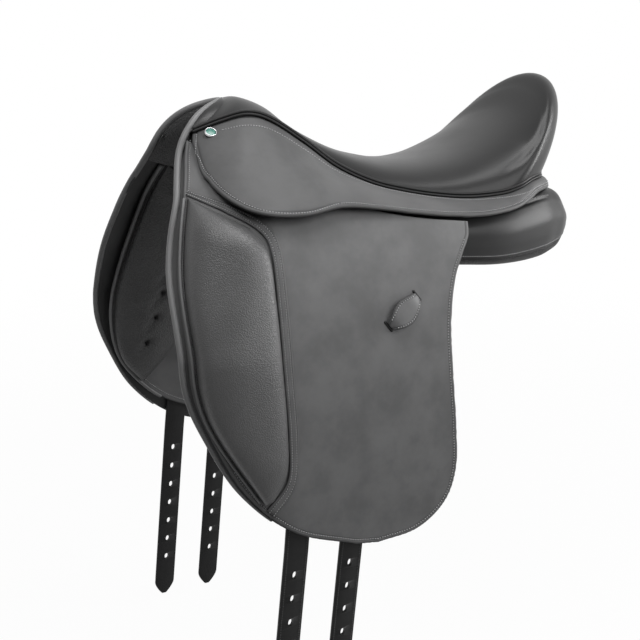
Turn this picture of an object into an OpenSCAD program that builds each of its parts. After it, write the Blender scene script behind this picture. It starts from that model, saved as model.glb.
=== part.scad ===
// Dressage saddle: seat, skirts, flaps, panels, tree and girth straps as separate pieces.
// Millimetres. X to the near side, Y to the rear, Z up. The origin is the middle of the bearing level.

/* [Size] */
// Length of the seat from nail to cantle
seat_length = 445; // [410:5:480]
// Height of the pommel over the bearing level
saddle_height = 181; // [165:1:200]
// Half width over the outside of the flaps
flap_reach = 202; // [185:1:225]

/* [Leather] */
// Thickness of the seat leather
cover_thickness = 3; // [2:0.5:4]
// Thickness of the outer flap
flap_thickness = 4.5; // [3.5:0.5:6]
// Thickness of the flap lining
lining_thickness = 2.5; // [2:0.5:3.5]
// Thickness of the skirt
skirt_thickness = 3.5; // [2.5:0.5:4.5]
// Thickness of the sweat flap
sweat_thickness = 3; // [2:0.5:4]
// Radius of the piping round the seat
piping_radius = 2; // [1.5:0.25:2.5]

/* [Padding] */
// Foam depth in the middle of the seat
foam_depth = 22; // [16:1:26]
// Height of the knee block over the flap
knee_height = 30; // [20:1:36]
// Depth of the shoulder pad under the sweat flap
pad_depth = 24; // [16:1:28]
// Half width of the channel between the panels
channel_half = 33; // [28:1:36]

/* [Tree] */
// Thickness of the tree shell
tree_thickness = 6; // [5:0.5:8]
// Thickness of the steel gullet plate
plate_thickness = 2.5; // [2:0.25:3]

/* [Girth straps] */
// Width of a girth strap
strap_width = 25; // [22:1:28]
// Thickness of a girth strap
strap_thickness = 4; // [3:0.5:5]
// Distance from one strap hole to the next
hole_pitch = 25; // [22:1:28]
// Number of holes in a strap
hole_count = 7; // [5:1:9]
// Width of a strap hole
hole_width = 5; // [4:0.5:6]
// Length of a strap hole
hole_length = 8; // [7:0.5:10]

/* [Fittings] */
// Radius of the nail button on the skirt
nail_radius = 7.5; // [6:0.5:9]
// Length of the stirrup keeper on the flap
keeper_length = 42; // [36:1:48]
// Width of the stirrup keeper
keeper_width = 25; // [20:1:28]
// Radius of a strap rivet shank
rivet_radius = 2.5; // [2:0.25:3]

/* [Hidden] */

// scale of the outline points, which are millimetres on the nominal saddle
kx = flap_reach / 202;
ky = seat_length / 445;
kz = saddle_height / 181;

// gaps between pieces that lie on each other
lay = 0.3;
soft_lay = 0.8;
foam_lay = 0.5;
hinge_gap = 0.6;
strap_play = 1.2;
strap_fit = 0.08;

black = [0.12, 0.12, 0.13];
leather = [0.2, 0.2, 0.21];
steel = [0.7, 0.7, 0.72];
wood = [0.55, 0.45, 0.33];
foam = [0.8, 0.78, 0.6];

function spline_at(p, t) = let (
    n = len(p) - 1, s = min(max(t, 0), 1) * n, i = min(floor(s), n - 1), f = s - i,
    b = p[i], c = p[i + 1], a = i > 0 ? p[i - 1] : 2 * b - c,
    d = i < n - 1 ? p[i + 2] : 2 * c - b)
    0.5 * (2 * b + (c - a) * f + (2 * a - 5 * b + 4 * c - d) * f * f
    + (3 * b - a - 3 * c + d) * f * f * f);
function smooth(x) = let (k = min(max(x, 0), 1)) k * k * (3 - 2 * k);
function ramp(x) = min(max(x, 0), 1);
function mixed(a, b, k) = a * (1 - k) + b * k;
function steps(a, b, n) = [for (i = [0:n]) a + (b - a) * i / n];
function unit(v) = v / max(norm(v), 0.000001);
function at3(p) = [p[0] * kx, p[1] * ky, p[2] * kz];
function at2(p) = [p[0] * ky, p[1] * kz];
function placed3(list) = [for (p = list) at3(p)];
function placed2(list) = [for (p = list) at2(p)];

// solid between two equal grids, rows run down and columns run back on the near side
module shell(outer, inner) {
    m = len(outer) - 1;
    k = len(outer[0]) - 1;
    c = k + 1;
    n = (m + 1) * c;
    rows = [0:m - 1];
    cols = [0:k - 1];
    points = concat([for (r = outer) for (p = r) p], [for (r = inner) for (p = r) p]);
    faces = concat(
        [for (i = rows) for (j = cols) [i * c + j, i * c + j + 1, (i + 1) * c + j + 1]],
        [for (i = rows) for (j = cols) [i * c + j, (i + 1) * c + j + 1, (i + 1) * c + j]],
        [for (i = rows) for (j = cols) [n + i * c + j, n + (i + 1) * c + j + 1, n + i * c + j + 1]],
        [for (i = rows) for (j = cols) [n + i * c + j, n + (i + 1) * c + j, n + (i + 1) * c + j + 1]],
        [for (j = cols) [j + 1, j, n + j]],
        [for (j = cols) [j + 1, n + j, n + j + 1]],
        [for (j = cols) [m * c + j, m * c + j + 1, n + m * c + j + 1]],
        [for (j = cols) [m * c + j, n + m * c + j + 1, n + m * c + j]],
        [for (i = rows) [i * c, (i + 1) * c, n + (i + 1) * c]],
        [for (i = rows) [i * c, n + (i + 1) * c, n + i * c]],
        [for (i = rows) [(i + 1) * c + k, i * c + k, n + i * c + k]],
        [for (i = rows) [(i + 1) * c + k, n + i * c + k, n + (i + 1) * c + k]]);
    polyhedron(points, faces, convexity = 8);
}

// closed body through rings of equal length
module loft(rings) {
    m = len(rings) - 1;
    c = len(rings[0]);
    points = [for (r = rings) for (p = r) p];
    faces = concat(
        [for (i = [0:m - 1]) for (j = [0:c - 1])
            [i * c + j, i * c + (j + 1) % c, (i + 1) * c + (j + 1) % c]],
        [for (i = [0:m - 1]) for (j = [0:c - 1])
            [i * c + j, (i + 1) * c + (j + 1) % c, (i + 1) * c + j]],
        [for (j = [1:c - 2]) [0, j + 1, j]],
        [for (j = [1:c - 2]) [m * c, m * c + j, m * c + j + 1]]);
    polyhedron(points, faces, convexity = 8);
}

// round cord along a line of points
function cord_ring(path, i, r, sides) = let (
    n = len(path) - 1,
    t = unit(path[min(i + 1, n)] - path[max(i - 1, 0)]),
    s = unit(cross(t, [0, 0, 1])), u = cross(s, t))
    [for (k = [0:sides - 1]) path[i] + r * (cos(360 * k / sides) * s + sin(360 * k / sides) * u)];
module cord(path, r, sides = 8) {
    loft([for (i = [0:len(path) - 1]) cord_ring(path, i, r, sides)]);
}

module both(name) {
    if (name == "near") children();
    else mirror([1, 0, 0]) children();
}

// side surface: half width of the outer flap face at a place on it
fold_start = -182;
function side_nominal(y, z) =
    202 - 32 * exp(z / 125) - 0.0055 * pow(max(0, z - 60), 2)
    - pow(min(max((fold_start - y) / 93, 0), 1.1), 1.5) * (17 + 14 * smooth((z + 60) / 170));
function side_x(y, z) = kx * side_nominal(y / ky, z / kz);
function on_side(p, off) = [side_x(p[0], p[1]) + off, p[0], p[1]];
function sheet(front, rear, us, vs, off) = [for (v = vs) let (
    f = spline_at(front, v), r = spline_at(rear, v))
    [for (u = us) on_side(mixed(f, r, u), off)]];

// layers inward from the outer flap face
lining_out = -flap_thickness - lay;
lining_in = lining_out - lining_thickness;
strap_out = lining_in - strap_play;
strap_in = strap_out - strap_thickness;
sweat_out = strap_in - strap_play;
sweat_in = sweat_out - sweat_thickness;
pad_out = sweat_in - soft_lay;

// seat: middle line, seam line and tree rim from the pommel to the back of the cantle
mid_line = placed3([[0, -175, 179.5], [0, -160, 181], [0, -135, 171], [0, -104, 147], [0, -64, 128],
    [0, -22, 117], [0, 12, 112], [0, 50, 113], [0, 94, 122], [0, 135, 140], [0, 168, 161],
    [0, 192, 186], [0, 207, 201], [0, 222, 198], [0, 231, 180], [0, 228, 140], [0, 208, 89.5]]);
welt_line = placed3([[60, -222, 158.5], [66, -203, 165], [66, -175, 169], [66, -150, 162],
    [67, -114, 139], [71, -79, 113], [78, -42, 95], [86, -9, 86], [95, 25, 80], [103, 61, 77],
    [109, 99, 79], [109, 121, 84], [103, 144, 90], [90, 168, 92], [67, 188, 91], [36, 202, 89], [4, 207, 88]]);
rim_line = placed3([[55, -219, 138], [67, -200, 124], [81, -178, 112], [89, -152, 102], [95, -118, 94],
    [95, -80, 87], [91, -42, 80], [90, -9, 76], [92, 25, 73], [95, 61, 71], [98, 98, 72], [97, 119, 76],
    [91, 140, 81], [79, 162, 83], [58, 179, 83], [31, 192, 82], [4, 197, 82]]);
last = len(mid_line) - 1;
nudge = 0.004;
function mid_normal(t) = let (d = spline_at(mid_line, t + nudge) - spline_at(mid_line, t - nudge))
    unit([0, -d[2], d[1]]);
function plan_normal(line, t) = let (d = spline_at(line, t + nudge) - spline_at(line, t - nudge))
    unit([d[1], -d[0], 0]);
function foam_at(t) = 4 + (foam_depth - 4) * smooth((t * last - 1.5) / 4)
    * (1 - 0.95 * smooth((t * last - 8) / 3));
function arch(c, w, s) = [w[0] * sin(90 * s), w[1] + (c[1] - w[1]) * cos(90 * s),
    w[2] + (c[2] - w[2]) * cos(90 * s)];
function seat_point(t, s, dc, dw) = arch(
    spline_at(mid_line, t) - dc * mid_normal(t),
    spline_at(welt_line, t) - dw * plan_normal(welt_line, t), s);
function tree_point(t, s, d) = arch(
    spline_at(mid_line, t) - (cover_thickness + foam_at(t) + lay + soft_lay + d) * mid_normal(t),
    spline_at(rim_line, t) - d * plan_normal(rim_line, t), s);
function seat_grid(dc, dw, ts, ss) = [for (t = ts) [for (s = ss) seat_point(t, s, dc, dw)]];

cover_ts = steps(0, 1, 30);
cover_ss = steps(1, -1, 12);
module seat_cover() {
    color(black) shell(seat_grid(0, 0, cover_ts, cover_ss),
        seat_grid(cover_thickness, cover_thickness, cover_ts, cover_ss));
}
foam_rim = 4;
module seat_foam() {
    top = cover_thickness + foam_lay;
    color(foam) shell(seat_grid(top, top, cover_ts, cover_ss),
        [for (t = cover_ts) [for (s = cover_ss) seat_point(t, s, top + foam_at(t), top + foam_rim)]]);
}
tree_ts = cover_ts;
tree_ss = cover_ss;
module saddle_tree() {
    color(wood) shell([for (t = tree_ts) [for (s = tree_ss) tree_point(t, s, 0)]],
        [for (t = tree_ts) [for (s = tree_ss) tree_point(t, s, tree_thickness)]]);
}

// piping along the seam round the seat
function welt_cord(t) = spline_at(welt_line, t)
    + (piping_radius + 0.55) * plan_normal(welt_line, t) + [0, 0, piping_radius * 0.35];
module seat_piping() {
    near = [for (t = steps(0.004, 1, 40)) welt_cord(t)];
    far = [for (i = [len(near) - 1:-1:0]) [-near[i][0], near[i][1], near[i][2]]];
    color(black) cord(concat(near, far), piping_radius, 6);
}

// skirt: seam line, bend line and lower edge
skirt_edge = placed3([[85, -231, 128], [113, -231, 109], [136, -220, 94.5], [154, -195, 83], [158, -153, 78.5],
    [152, -113, 84], [150, -75, 80.5], [150, -30, 73], [149, 15, 67], [144, 60, 64], [134, 101, 66],
    [122, 127, 71], [111, 150, 77], [96, 177, 79], [71, 198, 78], [39, 213, 76], [4, 218, 75]]);
bend_front = at3([74, -228, 147]);
bend_rear = at3([150, -112, 88]);
lobe_end = 5;
function bend_at(i) = let (
    k = ramp(i / lobe_end), b = smooth((i - lobe_end) / 1.5), t = i / last,
    m = (spline_at(welt_line, t) + spline_at(skirt_edge, t)) / 2 + [3, 0, 3])
    mixed(mixed(bend_front, bend_rear, k), m, b);
function skirt_face(i, u) = let (t = i / last,
    w = spline_at(welt_line, t) - [0, 0, 1.2], k = spline_at(skirt_edge, t), h = bend_at(i))
    w * (1 - u) * (1 - 2 * u) + h * 4 * u * (1 - u) + k * u * (2 * u - 1);
function skirt_normal(i, u) = unit(cross(
    skirt_face(i, min(u + 0.02, 1)) - skirt_face(i, max(u - 0.02, 0)),
    skirt_face(min(i + 0.1, last), u) - skirt_face(max(i - 0.1, 0), u)));
function skirt_grid(us, is, d) = [for (k = [0:len(us[0]) - 1]) [for (j = [0:len(is) - 1])
    skirt_face(is[j], us[j][k]) - d * skirt_normal(is[j], us[j][k])]];
bend_slack = 0.012;
module skirt_band(side) {
    is = concat(steps(0, lobe_end - 0.1, 9), steps(lobe_end + 0.1, last, 24));
    us = [for (i = is) steps(0.02, i < lobe_end ? 0.5 - bend_slack : 1, 4)];
    color(leather) both(side) shell(skirt_grid(us, is, 0), skirt_grid(us, is, skirt_thickness));
}
module skirt(side) {
    is = steps(0, lobe_end - 0.1, 10);
    us = [for (i = is) steps(0.5, 1, 4)];
    color(leather) both(side) shell(skirt_grid(us, is, 0), skirt_grid(us, is, skirt_thickness));
}
// tab over the seam of the two skirt bands behind the cantle
module band_cap() {
    w = 9;
    top = spline_at(welt_line, 1);
    low = spline_at(skirt_edge, 1);
    xs = steps(-w, w, 4);
    ks = steps(0.12, 1.1, 3);
    function face(x, k, d) = [x, mixed(top[1], low[1], k) + 2 + d + 3 * (1 - k) - 0.02 * x * x,
        mixed(top[2], low[2], k)];
    color(leather) shell([for (k = ks) [for (x = [w, w / 2, 0, -w / 2, -w]) face(x, k, 2)]],
        [for (k = ks) [for (x = [w, w / 2, 0, -w / 2, -w]) face(x, k, 0)]]);
}

// nail buttons at the front of the skirts
nail_i = 0.55;
nail_u = 0.2;
module nail_place(side) {
    p = skirt_face(nail_i, nail_u);
    n = skirt_normal(nail_i, nail_u);
    both(side) translate(p) rotate([0, acos(n[2]), atan2(n[1], n[0])]) children();
}
nail_height = 3;
module nail_rims() {
    color(steel) for (side = ["near", "off"]) nail_place(side)
        translate([0, 0, lay]) difference() {
            cylinder(h = nail_height, r1 = nail_radius, r2 = nail_radius - 1, $fn = 48);
            translate([0, 0, 1]) cylinder(h = nail_height, r = nail_radius - 1.6, $fn = 48);
        }
}
module nail_faces() {
    color([0.1, 0.45, 0.35]) for (side = ["near", "off"]) nail_place(side)
        translate([0, 0, lay + 1]) cylinder(h = nail_height - 1.3, r = nail_radius - 1.75, $fn = 48);
}

// flap: front and rear edges from the bend line to the hem
flap_front = placed2([[-254, 97], [-263.5, 62], [-270.5, 20], [-274, -30], [-273, -76], [-259, -119],
    [-231, -173], [-185, -217], [-120, -242]]);
flap_rear = placed2([[23, 44], [5, 8], [-4, -35], [-5, -85], [-3, -140], [-4, -185], [-18, -218],
    [-50, -240], [-95, -245.5]]);
hinge_front = flap_front[0];
hinge_rear = flap_rear[0];
function hinge_z(y) = hinge_front[1] + (y - hinge_front[0])
    * (hinge_rear[1] - hinge_front[1]) / (hinge_rear[0] - hinge_front[0]);
flap_vs = concat(steps(0, 0.72, 9), steps(0.78, 1, 5));
flap_us = [0, 0.05, 0.12, 0.2, 0.28, 0.4, 0.6, 0.8, 1];
lining_reach = 0.018;
lining_us = concat([-lining_reach], flap_us);
function flap_grid(us, off) = sheet(flap_front, flap_rear, us, flap_vs, off);
module flap(side) {
    color(leather) both(side) shell(flap_grid(flap_us, 0), flap_grid(flap_us, -flap_thickness));
}
module flap_lining(side) {
    color(black) both(side) shell(flap_grid(lining_us, lining_out), flap_grid(lining_us, lining_in));
}

// flap head: the fixed top of the flap under the skirt, hollowed for the stirrup bar
head_top = placed2([[-224, 139], [-204, 124], [-162, 109], [-112, 90], [-66, 75], [-20, 66], [24, 58]]);
head_low = [hinge_front, hinge_rear];
recess_depth = 16;
recess_gap = 9.5;
function recess(y, z) = recess_depth * smooth((z - hinge_z(y) - recess_gap) / (14 * kz))
    * smooth((y / ky + 218) / 25) * smooth((-85 - y / ky) / 30);
function head_point(p, off) = on_side(p, off - recess(p[0], p[1]));
head_us = steps(0, 1, 16);
head_vs = steps(0, 1, 5);
function head_grid(off) = [for (v = head_vs) [for (u = head_us)
    head_point(mixed(spline_at(head_top, u), spline_at(head_low, u) + [0, hinge_gap], v), off)]];
module flap_head(side) {
    color(leather) both(side) shell(head_grid(0), head_grid(-flap_thickness));
}

// knee block and the stitched border of its pocket
knee_front = placed2([[-243, 90], [-255, 60], [-263, 15], [-267, -35], [-265, -80], [-251, -118], [-221, -172]]);
knee_rear = placed2([[-203, 68], [-193, 46], [-192, 5], [-192, -50], [-191, -108], [-194, -146], [-213, -169]]);
knee_edge = 3;
function knee_rise(u, v) = pow(ramp(4 * u * (1 - u)), 0.5) * pow(ramp(v / 0.08), 0.5)
    * pow(ramp((1 - v) / 0.16), 0.6) * (0.65 + 0.35 * (1 - v));
knee_us = [0, 0.05, 0.14, 0.28, 0.45, 0.62, 0.78, 0.9, 0.97, 1];
knee_vs = [0, 0.04, 0.1, 0.2, 0.32, 0.45, 0.58, 0.7, 0.8, 0.88, 0.94, 1];
function knee_grid(base, rise) = [for (v = knee_vs) let (
    f = spline_at(knee_front, v), r = spline_at(knee_rear, v))
    [for (u = knee_us) on_side(mixed(f, r, u), base + rise * knee_rise(u, v))]];
module knee_block(side) {
    color(black) both(side) shell(knee_grid(soft_lay + knee_edge, knee_height - knee_edge),
        knee_grid(soft_lay, 0));
}
border_in = placed2([[-247, 94], [-219, 79.5], [-197, 66], [-189.5, 47], [-190, -2], [-190, -67],
    [-189, -122], [-193, -154], [-219, -180]]);
border_out = placed2([[-243, 98], [-214, 86.5], [-190, 73], [-180, 50], [-180, -2], [-180, -67],
    [-179, -124], [-185, -161], [-213, -189]]);
border_height = 2.2;
module knee_border(side) {
    vs = steps(0, 1, 24);
    function face(d) = [for (u = [1, 0]) [for (v = vs)
        on_side(mixed(spline_at(border_in, v), spline_at(border_out, v), u), d)]];
    color(leather) both(side) shell(face(lay + border_height), face(lay));
}

// stirrup keeper: a bowed loop on the flap for the end of the stirrup leather
keeper_mid = at2([-59, -18]);
keeper_turn = 37;
keeper_bow = 5;
module keeper(side) {
    d = [cos(keeper_turn), sin(keeper_turn)];
    e = [-d[1], d[0]];
    as = steps(-1, 1, 10);
    bs = [1, 0.5, 0, -0.5, -1];
    function half(a) = keeper_width / 2 * (1 - 0.62 * pow(abs(a), 1.6));
    function face(off) = [for (b = bs) [for (a = as)
        on_side(keeper_mid + keeper_length / 2 * a * d + half(a) * b * e,
            lay + off + keeper_bow * (1 - pow(a, 4)))]];
    color(leather) both(side) shell(face(2.5), face(0));
}

// sweat flap between the girth straps and the panel
sweat_front = placed2([[-216, 108], [-229, 75], [-244, 25], [-255, -22], [-262, -75], [-254, -124],
    [-229, -163], [-190, -197], [-130, -222]]);
sweat_rear = placed2([[10, 44], [-4, 18], [-12, -15], [-16, -60], [-16, -110], [-16, -155], [-30, -192],
    [-60, -217], [-105, -226]]);
module sweat_flap(side) {
    us = [0, 0.05, 0.1, 0.16, 0.23, 0.32, 0.5, 0.75, 1];
    vs = concat(steps(0, 0.72, 12), steps(0.78, 1, 4));
    color(black) both(side) shell(sheet(sweat_front, sweat_rear, us, vs, sweat_out),
        sheet(sweat_front, sweat_rear, us, vs, sweat_in));
}

// shoulder pad: the front cushion inside the sweat flap, drawn in by four tufts
pad_front = placed2([[-209, 106], [-226, 65], [-241, 15], [-254, -40], [-258, -92], [-249, -133], [-226, -163]]);
pad_rear = placed2([[-152, 75], [-147, 40], [-146, 0], [-152, -45], [-167, -92], [-190, -133], [-221, -164]]);
tufts = placed2([[-194, -26], [-201, -51], [-210, -81], [-222, -112]]);
tuft_depth = 9;
function tuft(p, i) = i < 0 ? 0 : max(exp(-pow(norm(p - tufts[i]) / 9, 2)), tuft(p, i - 1));
function pad_rise(u, v) = pow(ramp(4 * u * (1 - u)), 0.5) * pow(ramp((1 - v) / 0.2), 0.6)
    * (0.45 + 0.55 * pow(ramp(v / 0.12), 0.5));
pad_us = [0, 0.06, 0.16, 0.3, 0.42, 0.52, 0.62, 0.75, 0.87, 0.95, 1];
pad_vs = [0, 0.06, 0.14, 0.24, 0.34, 0.42, 0.5, 0.565, 0.63, 0.7, 0.77, 0.84, 0.9, 0.96, 1];
pad_edge = 3;
function pad_grid(inside) = [for (v = pad_vs) let (f = spline_at(pad_front, v), r = spline_at(pad_rear, v))
    [for (u = pad_us) let (p = mixed(f, r, u))
        on_side(p, pad_out - inside * (pad_edge + (pad_depth - pad_edge) * pad_rise(u, v)
            - tuft_depth * tuft(p, 3) * ramp(pad_rise(u, v))))]];
module shoulder_pad(side) {
    color(black) both(side) shell(pad_grid(0), pad_grid(1));
}

// panel: the long bearing cushion, with inner wall, outer wall, top, bottom and bottom slope by station
panel_rows = [[-148, 22, 92, 79, 46, 4], [-140, 9, 108, 90, 32, 12], [-110, 4, 112, 91, 20, 16],
    [-60, 1, 116, 82.2, 10, 18], [0, 0, 121, 74.4, 4, 20], [50, 0, 126, 70.7, 0, 22], [90, 1, 124, 70.8, -4, 24],
    [130, 2, 114, 77, -6, 24], [165, 3, 102, 81, -5, 24], [190, 4, 91, 77.5, -1, 21], [206, 5, 81, 72, 4, 16],
    [218, 6, 70, 63, 11, 11], [226, 8, 60, 53, 19, 6], [230, 12, 51, 44, 26, 3]];
panel_sides = 18;
function squared(c) = sign(c) * pow(abs(c), 0.6);
function panel_ring(v) = let (r = spline_at(panel_rows, v), y = r[0] * ky, low = kz * r[4],
    inner = channel_half + r[1], outer = kx * r[2], top = kz * r[3] - max(0, foam_depth - 22))
    [for (k = [0:panel_sides - 1]) let (a = 360 * k / panel_sides, c = squared(cos(a)), s = squared(sin(a)),
        x = (inner + outer) / 2 + (outer - inner) / 2 * c)
        [x, y, (top + low) / 2 + (top - low) / 2 * s
            + ramp(-s) * kz * r[5] * (outer - x) / (outer - inner)]];
module panel(side) {
    color(black) both(side) loft([for (v = steps(0, 1, 18)) panel_ring(v)]);
}

// pommel: rim line, its front strip, the lining of the arch and the steel plate over it
rim_a = placed3([[0, -200, 172.5], [11, -207, 169.5], [23, -220, 159], [35, -228, 149], [47, -234, 141],
    [60, -240, 132], [74, -248, 120], [84, -253.5, 111.5]]);
rim_d = placed3([[0, -179, 178.5], [14, -181, 177.6], [31, -187, 174.5], [51, -205, 167.5], [59.5, -230, 156.5],
    [61, -237, 142], [74, -245.5, 124], [86, -252, 112.5]]);
function pair(p, s) = [s * p[0], p[1], p[2]];
function across(line, k) = k < 0 ? pair(spline_at(line, -k), -1) : spline_at(line, k);
front_ks = steps(0.86, -0.86, 24);
function front_face(k, u) = mixed(across(rim_a, k), across(rim_d, k), 0.27 + 0.68 * u);
function front_in(k, u) = front_face(k, u) + [0, 2.2, -0.9];
module pommel_front() {
    us = [1, 0.5, 0];
    color(leather) shell([for (k = front_ks) [for (u = us) front_face(k, u)]],
        [for (k = front_ks) [for (u = us) front_in(k, u)]]);
}
module pommel_piping() {
    color(black) cord([for (k = steps(-1, 1, 30)) across(rim_a, k) + [0, -0.8, -1.4]], 2.2, 6);
}
lining_a = placed3([[0, -193, 163.5], [10, -199, 160.5], [22, -212, 150], [38, -225, 139], [54, -233, 127],
    [68, -240, 113]]);
lining_b = placed3([[0, -127.5, 142.1], [12, -128.5, 140.6], [25, -130, 134.5], [42, -132, 125.5], [58, -134, 112],
    [70, -136, 96]]);
function vault(k, u, d) = let (
    p = mixed(across(lining_a, k), across(lining_b, k), u),
    g = mixed(across(lining_a, k + 0.02), across(lining_b, k + 0.02), u)
        - mixed(across(lining_a, k - 0.02), across(lining_b, k - 0.02), u),
    h = across(lining_b, k) - across(lining_a, k))
    p + d * unit(cross(g, h));
vault_ks = steps(1, -1, 16);
module pommel_lining() {
    us = steps(0, 1, 4);
    color(black) shell([for (u = us) [for (k = vault_ks) vault(k, u, 0)]],
        [for (u = us) [for (k = vault_ks) vault(k, u, -2.5)]]);
}
module gullet_plate() {
    us = steps(0.14, 0.5, 3);
    color(steel) shell([for (u = us) [for (k = vault_ks) vault(k * 0.9, u, soft_lay + plate_thickness)]],
        [for (u = us) [for (k = vault_ks) vault(k * 0.9, u, soft_lay)]]);
}

// stirrup bar: plate on the flap head and an open bar for the stirrup leather
bar_mid = at2([-163.5, 110]);
bar_tilt = 47;
bar_length = 50;
bar_plate = 2.5;
module bar_place(side) {
    both(side) translate(head_point(bar_mid, 0)) rotate([0, -bar_tilt + 90, 0]) translate([0, 0, 1.3]) children();
}
module bar_bores(r) {
    for (y = [-14, 14]) translate([0, y, -20]) cylinder(h = 40, r = r, $fn = 32);
}
module stirrup_bar(side) {
    color(steel) bar_place(side) difference() {
        union() {
            translate([-7, -bar_length / 2, 0]) cube([14, bar_length, bar_plate]);
            translate([-4, -bar_length / 2, 0]) cube([8, 6, 10.5]);
            translate([-4, -bar_length / 2, 7]) cube([8, bar_length, 3.5]);
        }
        bar_bores(2.05);
    }
}
module bar_rivets() {
    color(steel) for (side = ["near", "off"]) bar_place(side) for (y = [-14, 14])
        translate([0, y, 0]) {
            cylinder(h = bar_plate, r = 2, $fn = 32);
            translate([0, 0, bar_plate]) cylinder(h = 1.6, r1 = 3.8, r2 = 3, $fn = 32);
        }
}

// girth straps hang on rivets from a web on the sweat flap
pivot_z = 0;
strap_lean = 0.1;
front_pivot = [-156, pivot_z];
rear_pivot = [-96, pivot_z];
first_hole = -265;
strap_end = 52;
axis_tilt = 7;
head_part = (strap_thickness - lay) / 2;
web_z = [76, -22];
step_z = -28;
strap_zs = concat([18, 8, -4, -16, step_z + 0.01, step_z], [for (z = [-50:-25:-240]) z]);
function strap_y(pivot, z) = ky * pivot[0] + strap_lean * (z - pivot[1]);
function strap_x(z) = side_x(-150 * ky, max(z, -240 * kz));
last_hole = first_hole * kz - (hole_count - 1) * hole_pitch;
strap_low = last_hole - strap_end;
module strap_body(pivot) {
    zs = concat([for (z = strap_zs) z * kz], [first_hole * kz, last_hole, strap_low + 14, strap_low]);
    n = len(zs) - 1;
    function half(i) = i == n ? 4 : i == 0 ? strap_width / 2 - 4 : strap_width / 2;
    function inner(i) = i < 5 ? strap_out - head_part : strap_in;
    shell([for (i = [0:n]) [for (s = [-1, 1])
            [strap_x(zs[i]) + strap_out, strap_y(pivot, zs[i]) + s * half(i), zs[i]]]],
        [for (i = [0:n]) [for (s = [-1, 1])
            [strap_x(zs[i]) + inner(i), strap_y(pivot, zs[i]) + s * half(i), zs[i]]]]);
}
function pivot_point(pivot) = [strap_x(pivot[1]) + (strap_out + strap_in) / 2, strap_y(pivot, pivot[1]), pivot[1]];
module pivot_place(pivot) {
    translate(pivot_point(pivot)) rotate([0, 90 - axis_tilt, 0]) children();
}
module strap_holes(pivot) {
    slot = (hole_length - hole_width) / 2;
    for (k = [0:hole_count - 1]) {
        z = first_hole * kz - k * hole_pitch;
        translate([strap_x(z) + strap_in - 5, strap_y(pivot, z), z]) rotate([0, 90, 0]) {
            for (s = [-1, 1]) translate([s * slot, 0, 0])
                cylinder(h = strap_thickness + 10, r = hole_width / 2, $fn = 24);
            translate([-slot, -hole_width / 2, 0]) cube([2 * slot, hole_width, strap_thickness + 10]);
        }
    }
}
module girth_strap(side, pivot) {
    color(black) both(side) difference() {
        strap_body(pivot);
        strap_holes(pivot);
        pivot_place(pivot) translate([0, 0, -10]) cylinder(h = 20, r = rivet_radius + strap_fit, $fn = 32);
    }
}
module girth_web(side) {
    zs = steps(web_z[0] * kz, web_z[1] * kz, 6);
    ys = [-1, 1];
    function edge(z, s) = s < 0 ? strap_y(front_pivot, z) - 13 : strap_y(rear_pivot, z) + 13;
    function face(off) = [for (z = zs) [for (s = ys) [strap_x(z) + off, edge(z, s), z]]];
    color(black) both(side) difference() {
        shell(face(strap_in + head_part), face(strap_in));
        for (p = [front_pivot, rear_pivot]) pivot_place(p)
            translate([0, 0, -10]) cylinder(h = 20, r = rivet_radius, $fn = 32);
    }
}
module strap_rivets() {
    color(steel) for (side = ["near", "off"]) for (p = [front_pivot, rear_pivot]) both(side) pivot_place(p) {
        translate([0, 0, -strap_thickness / 2 + 0.3]) cylinder(h = strap_thickness - 0.2, r = rivet_radius, $fn = 32);
    }
}

seat_cover();
seat_foam();
saddle_tree();
gullet_plate();
pommel_lining();
pommel_front();
pommel_piping();
seat_piping();
band_cap();
nail_rims();
nail_faces();
skirt_band("near");  // near_skirt_band
skirt_band("off");  // off_skirt_band
skirt("near");  // near_skirt
skirt("off");  // off_skirt
flap_head("near");  // near_flap_head
flap_head("off");  // off_flap_head
flap("near");  // near_flap
flap("off");  // off_flap
flap_lining("near");  // near_flap_lining
flap_lining("off");  // off_flap_lining
knee_block("near");  // near_knee_block
knee_block("off");  // off_knee_block
knee_border("near");  // near_knee_border
knee_border("off");  // off_knee_border
keeper("near");  // near_keeper
keeper("off");  // off_keeper
sweat_flap("near");  // near_sweat_flap
sweat_flap("off");  // off_sweat_flap
shoulder_pad("near");  // near_shoulder_pad
shoulder_pad("off");  // off_shoulder_pad
panel("near");  // near_panel
panel("off");  // off_panel
stirrup_bar("near");  // near_stirrup_bar
stirrup_bar("off");  // off_stirrup_bar
bar_rivets();
girth_web("near");  // near_girth_web
girth_web("off");  // off_girth_web
strap_rivets();
girth_strap("near", front_pivot);  // near_front_strap
girth_strap("near", rear_pivot);  // near_rear_strap
girth_strap("off", front_pivot);  // off_front_strap
girth_strap("off", rear_pivot);  // off_rear_strap
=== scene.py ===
import math

import bpy
import numpy as np
from mathutils import Matrix, Vector
from mathutils.kdtree import KDTree


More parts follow.
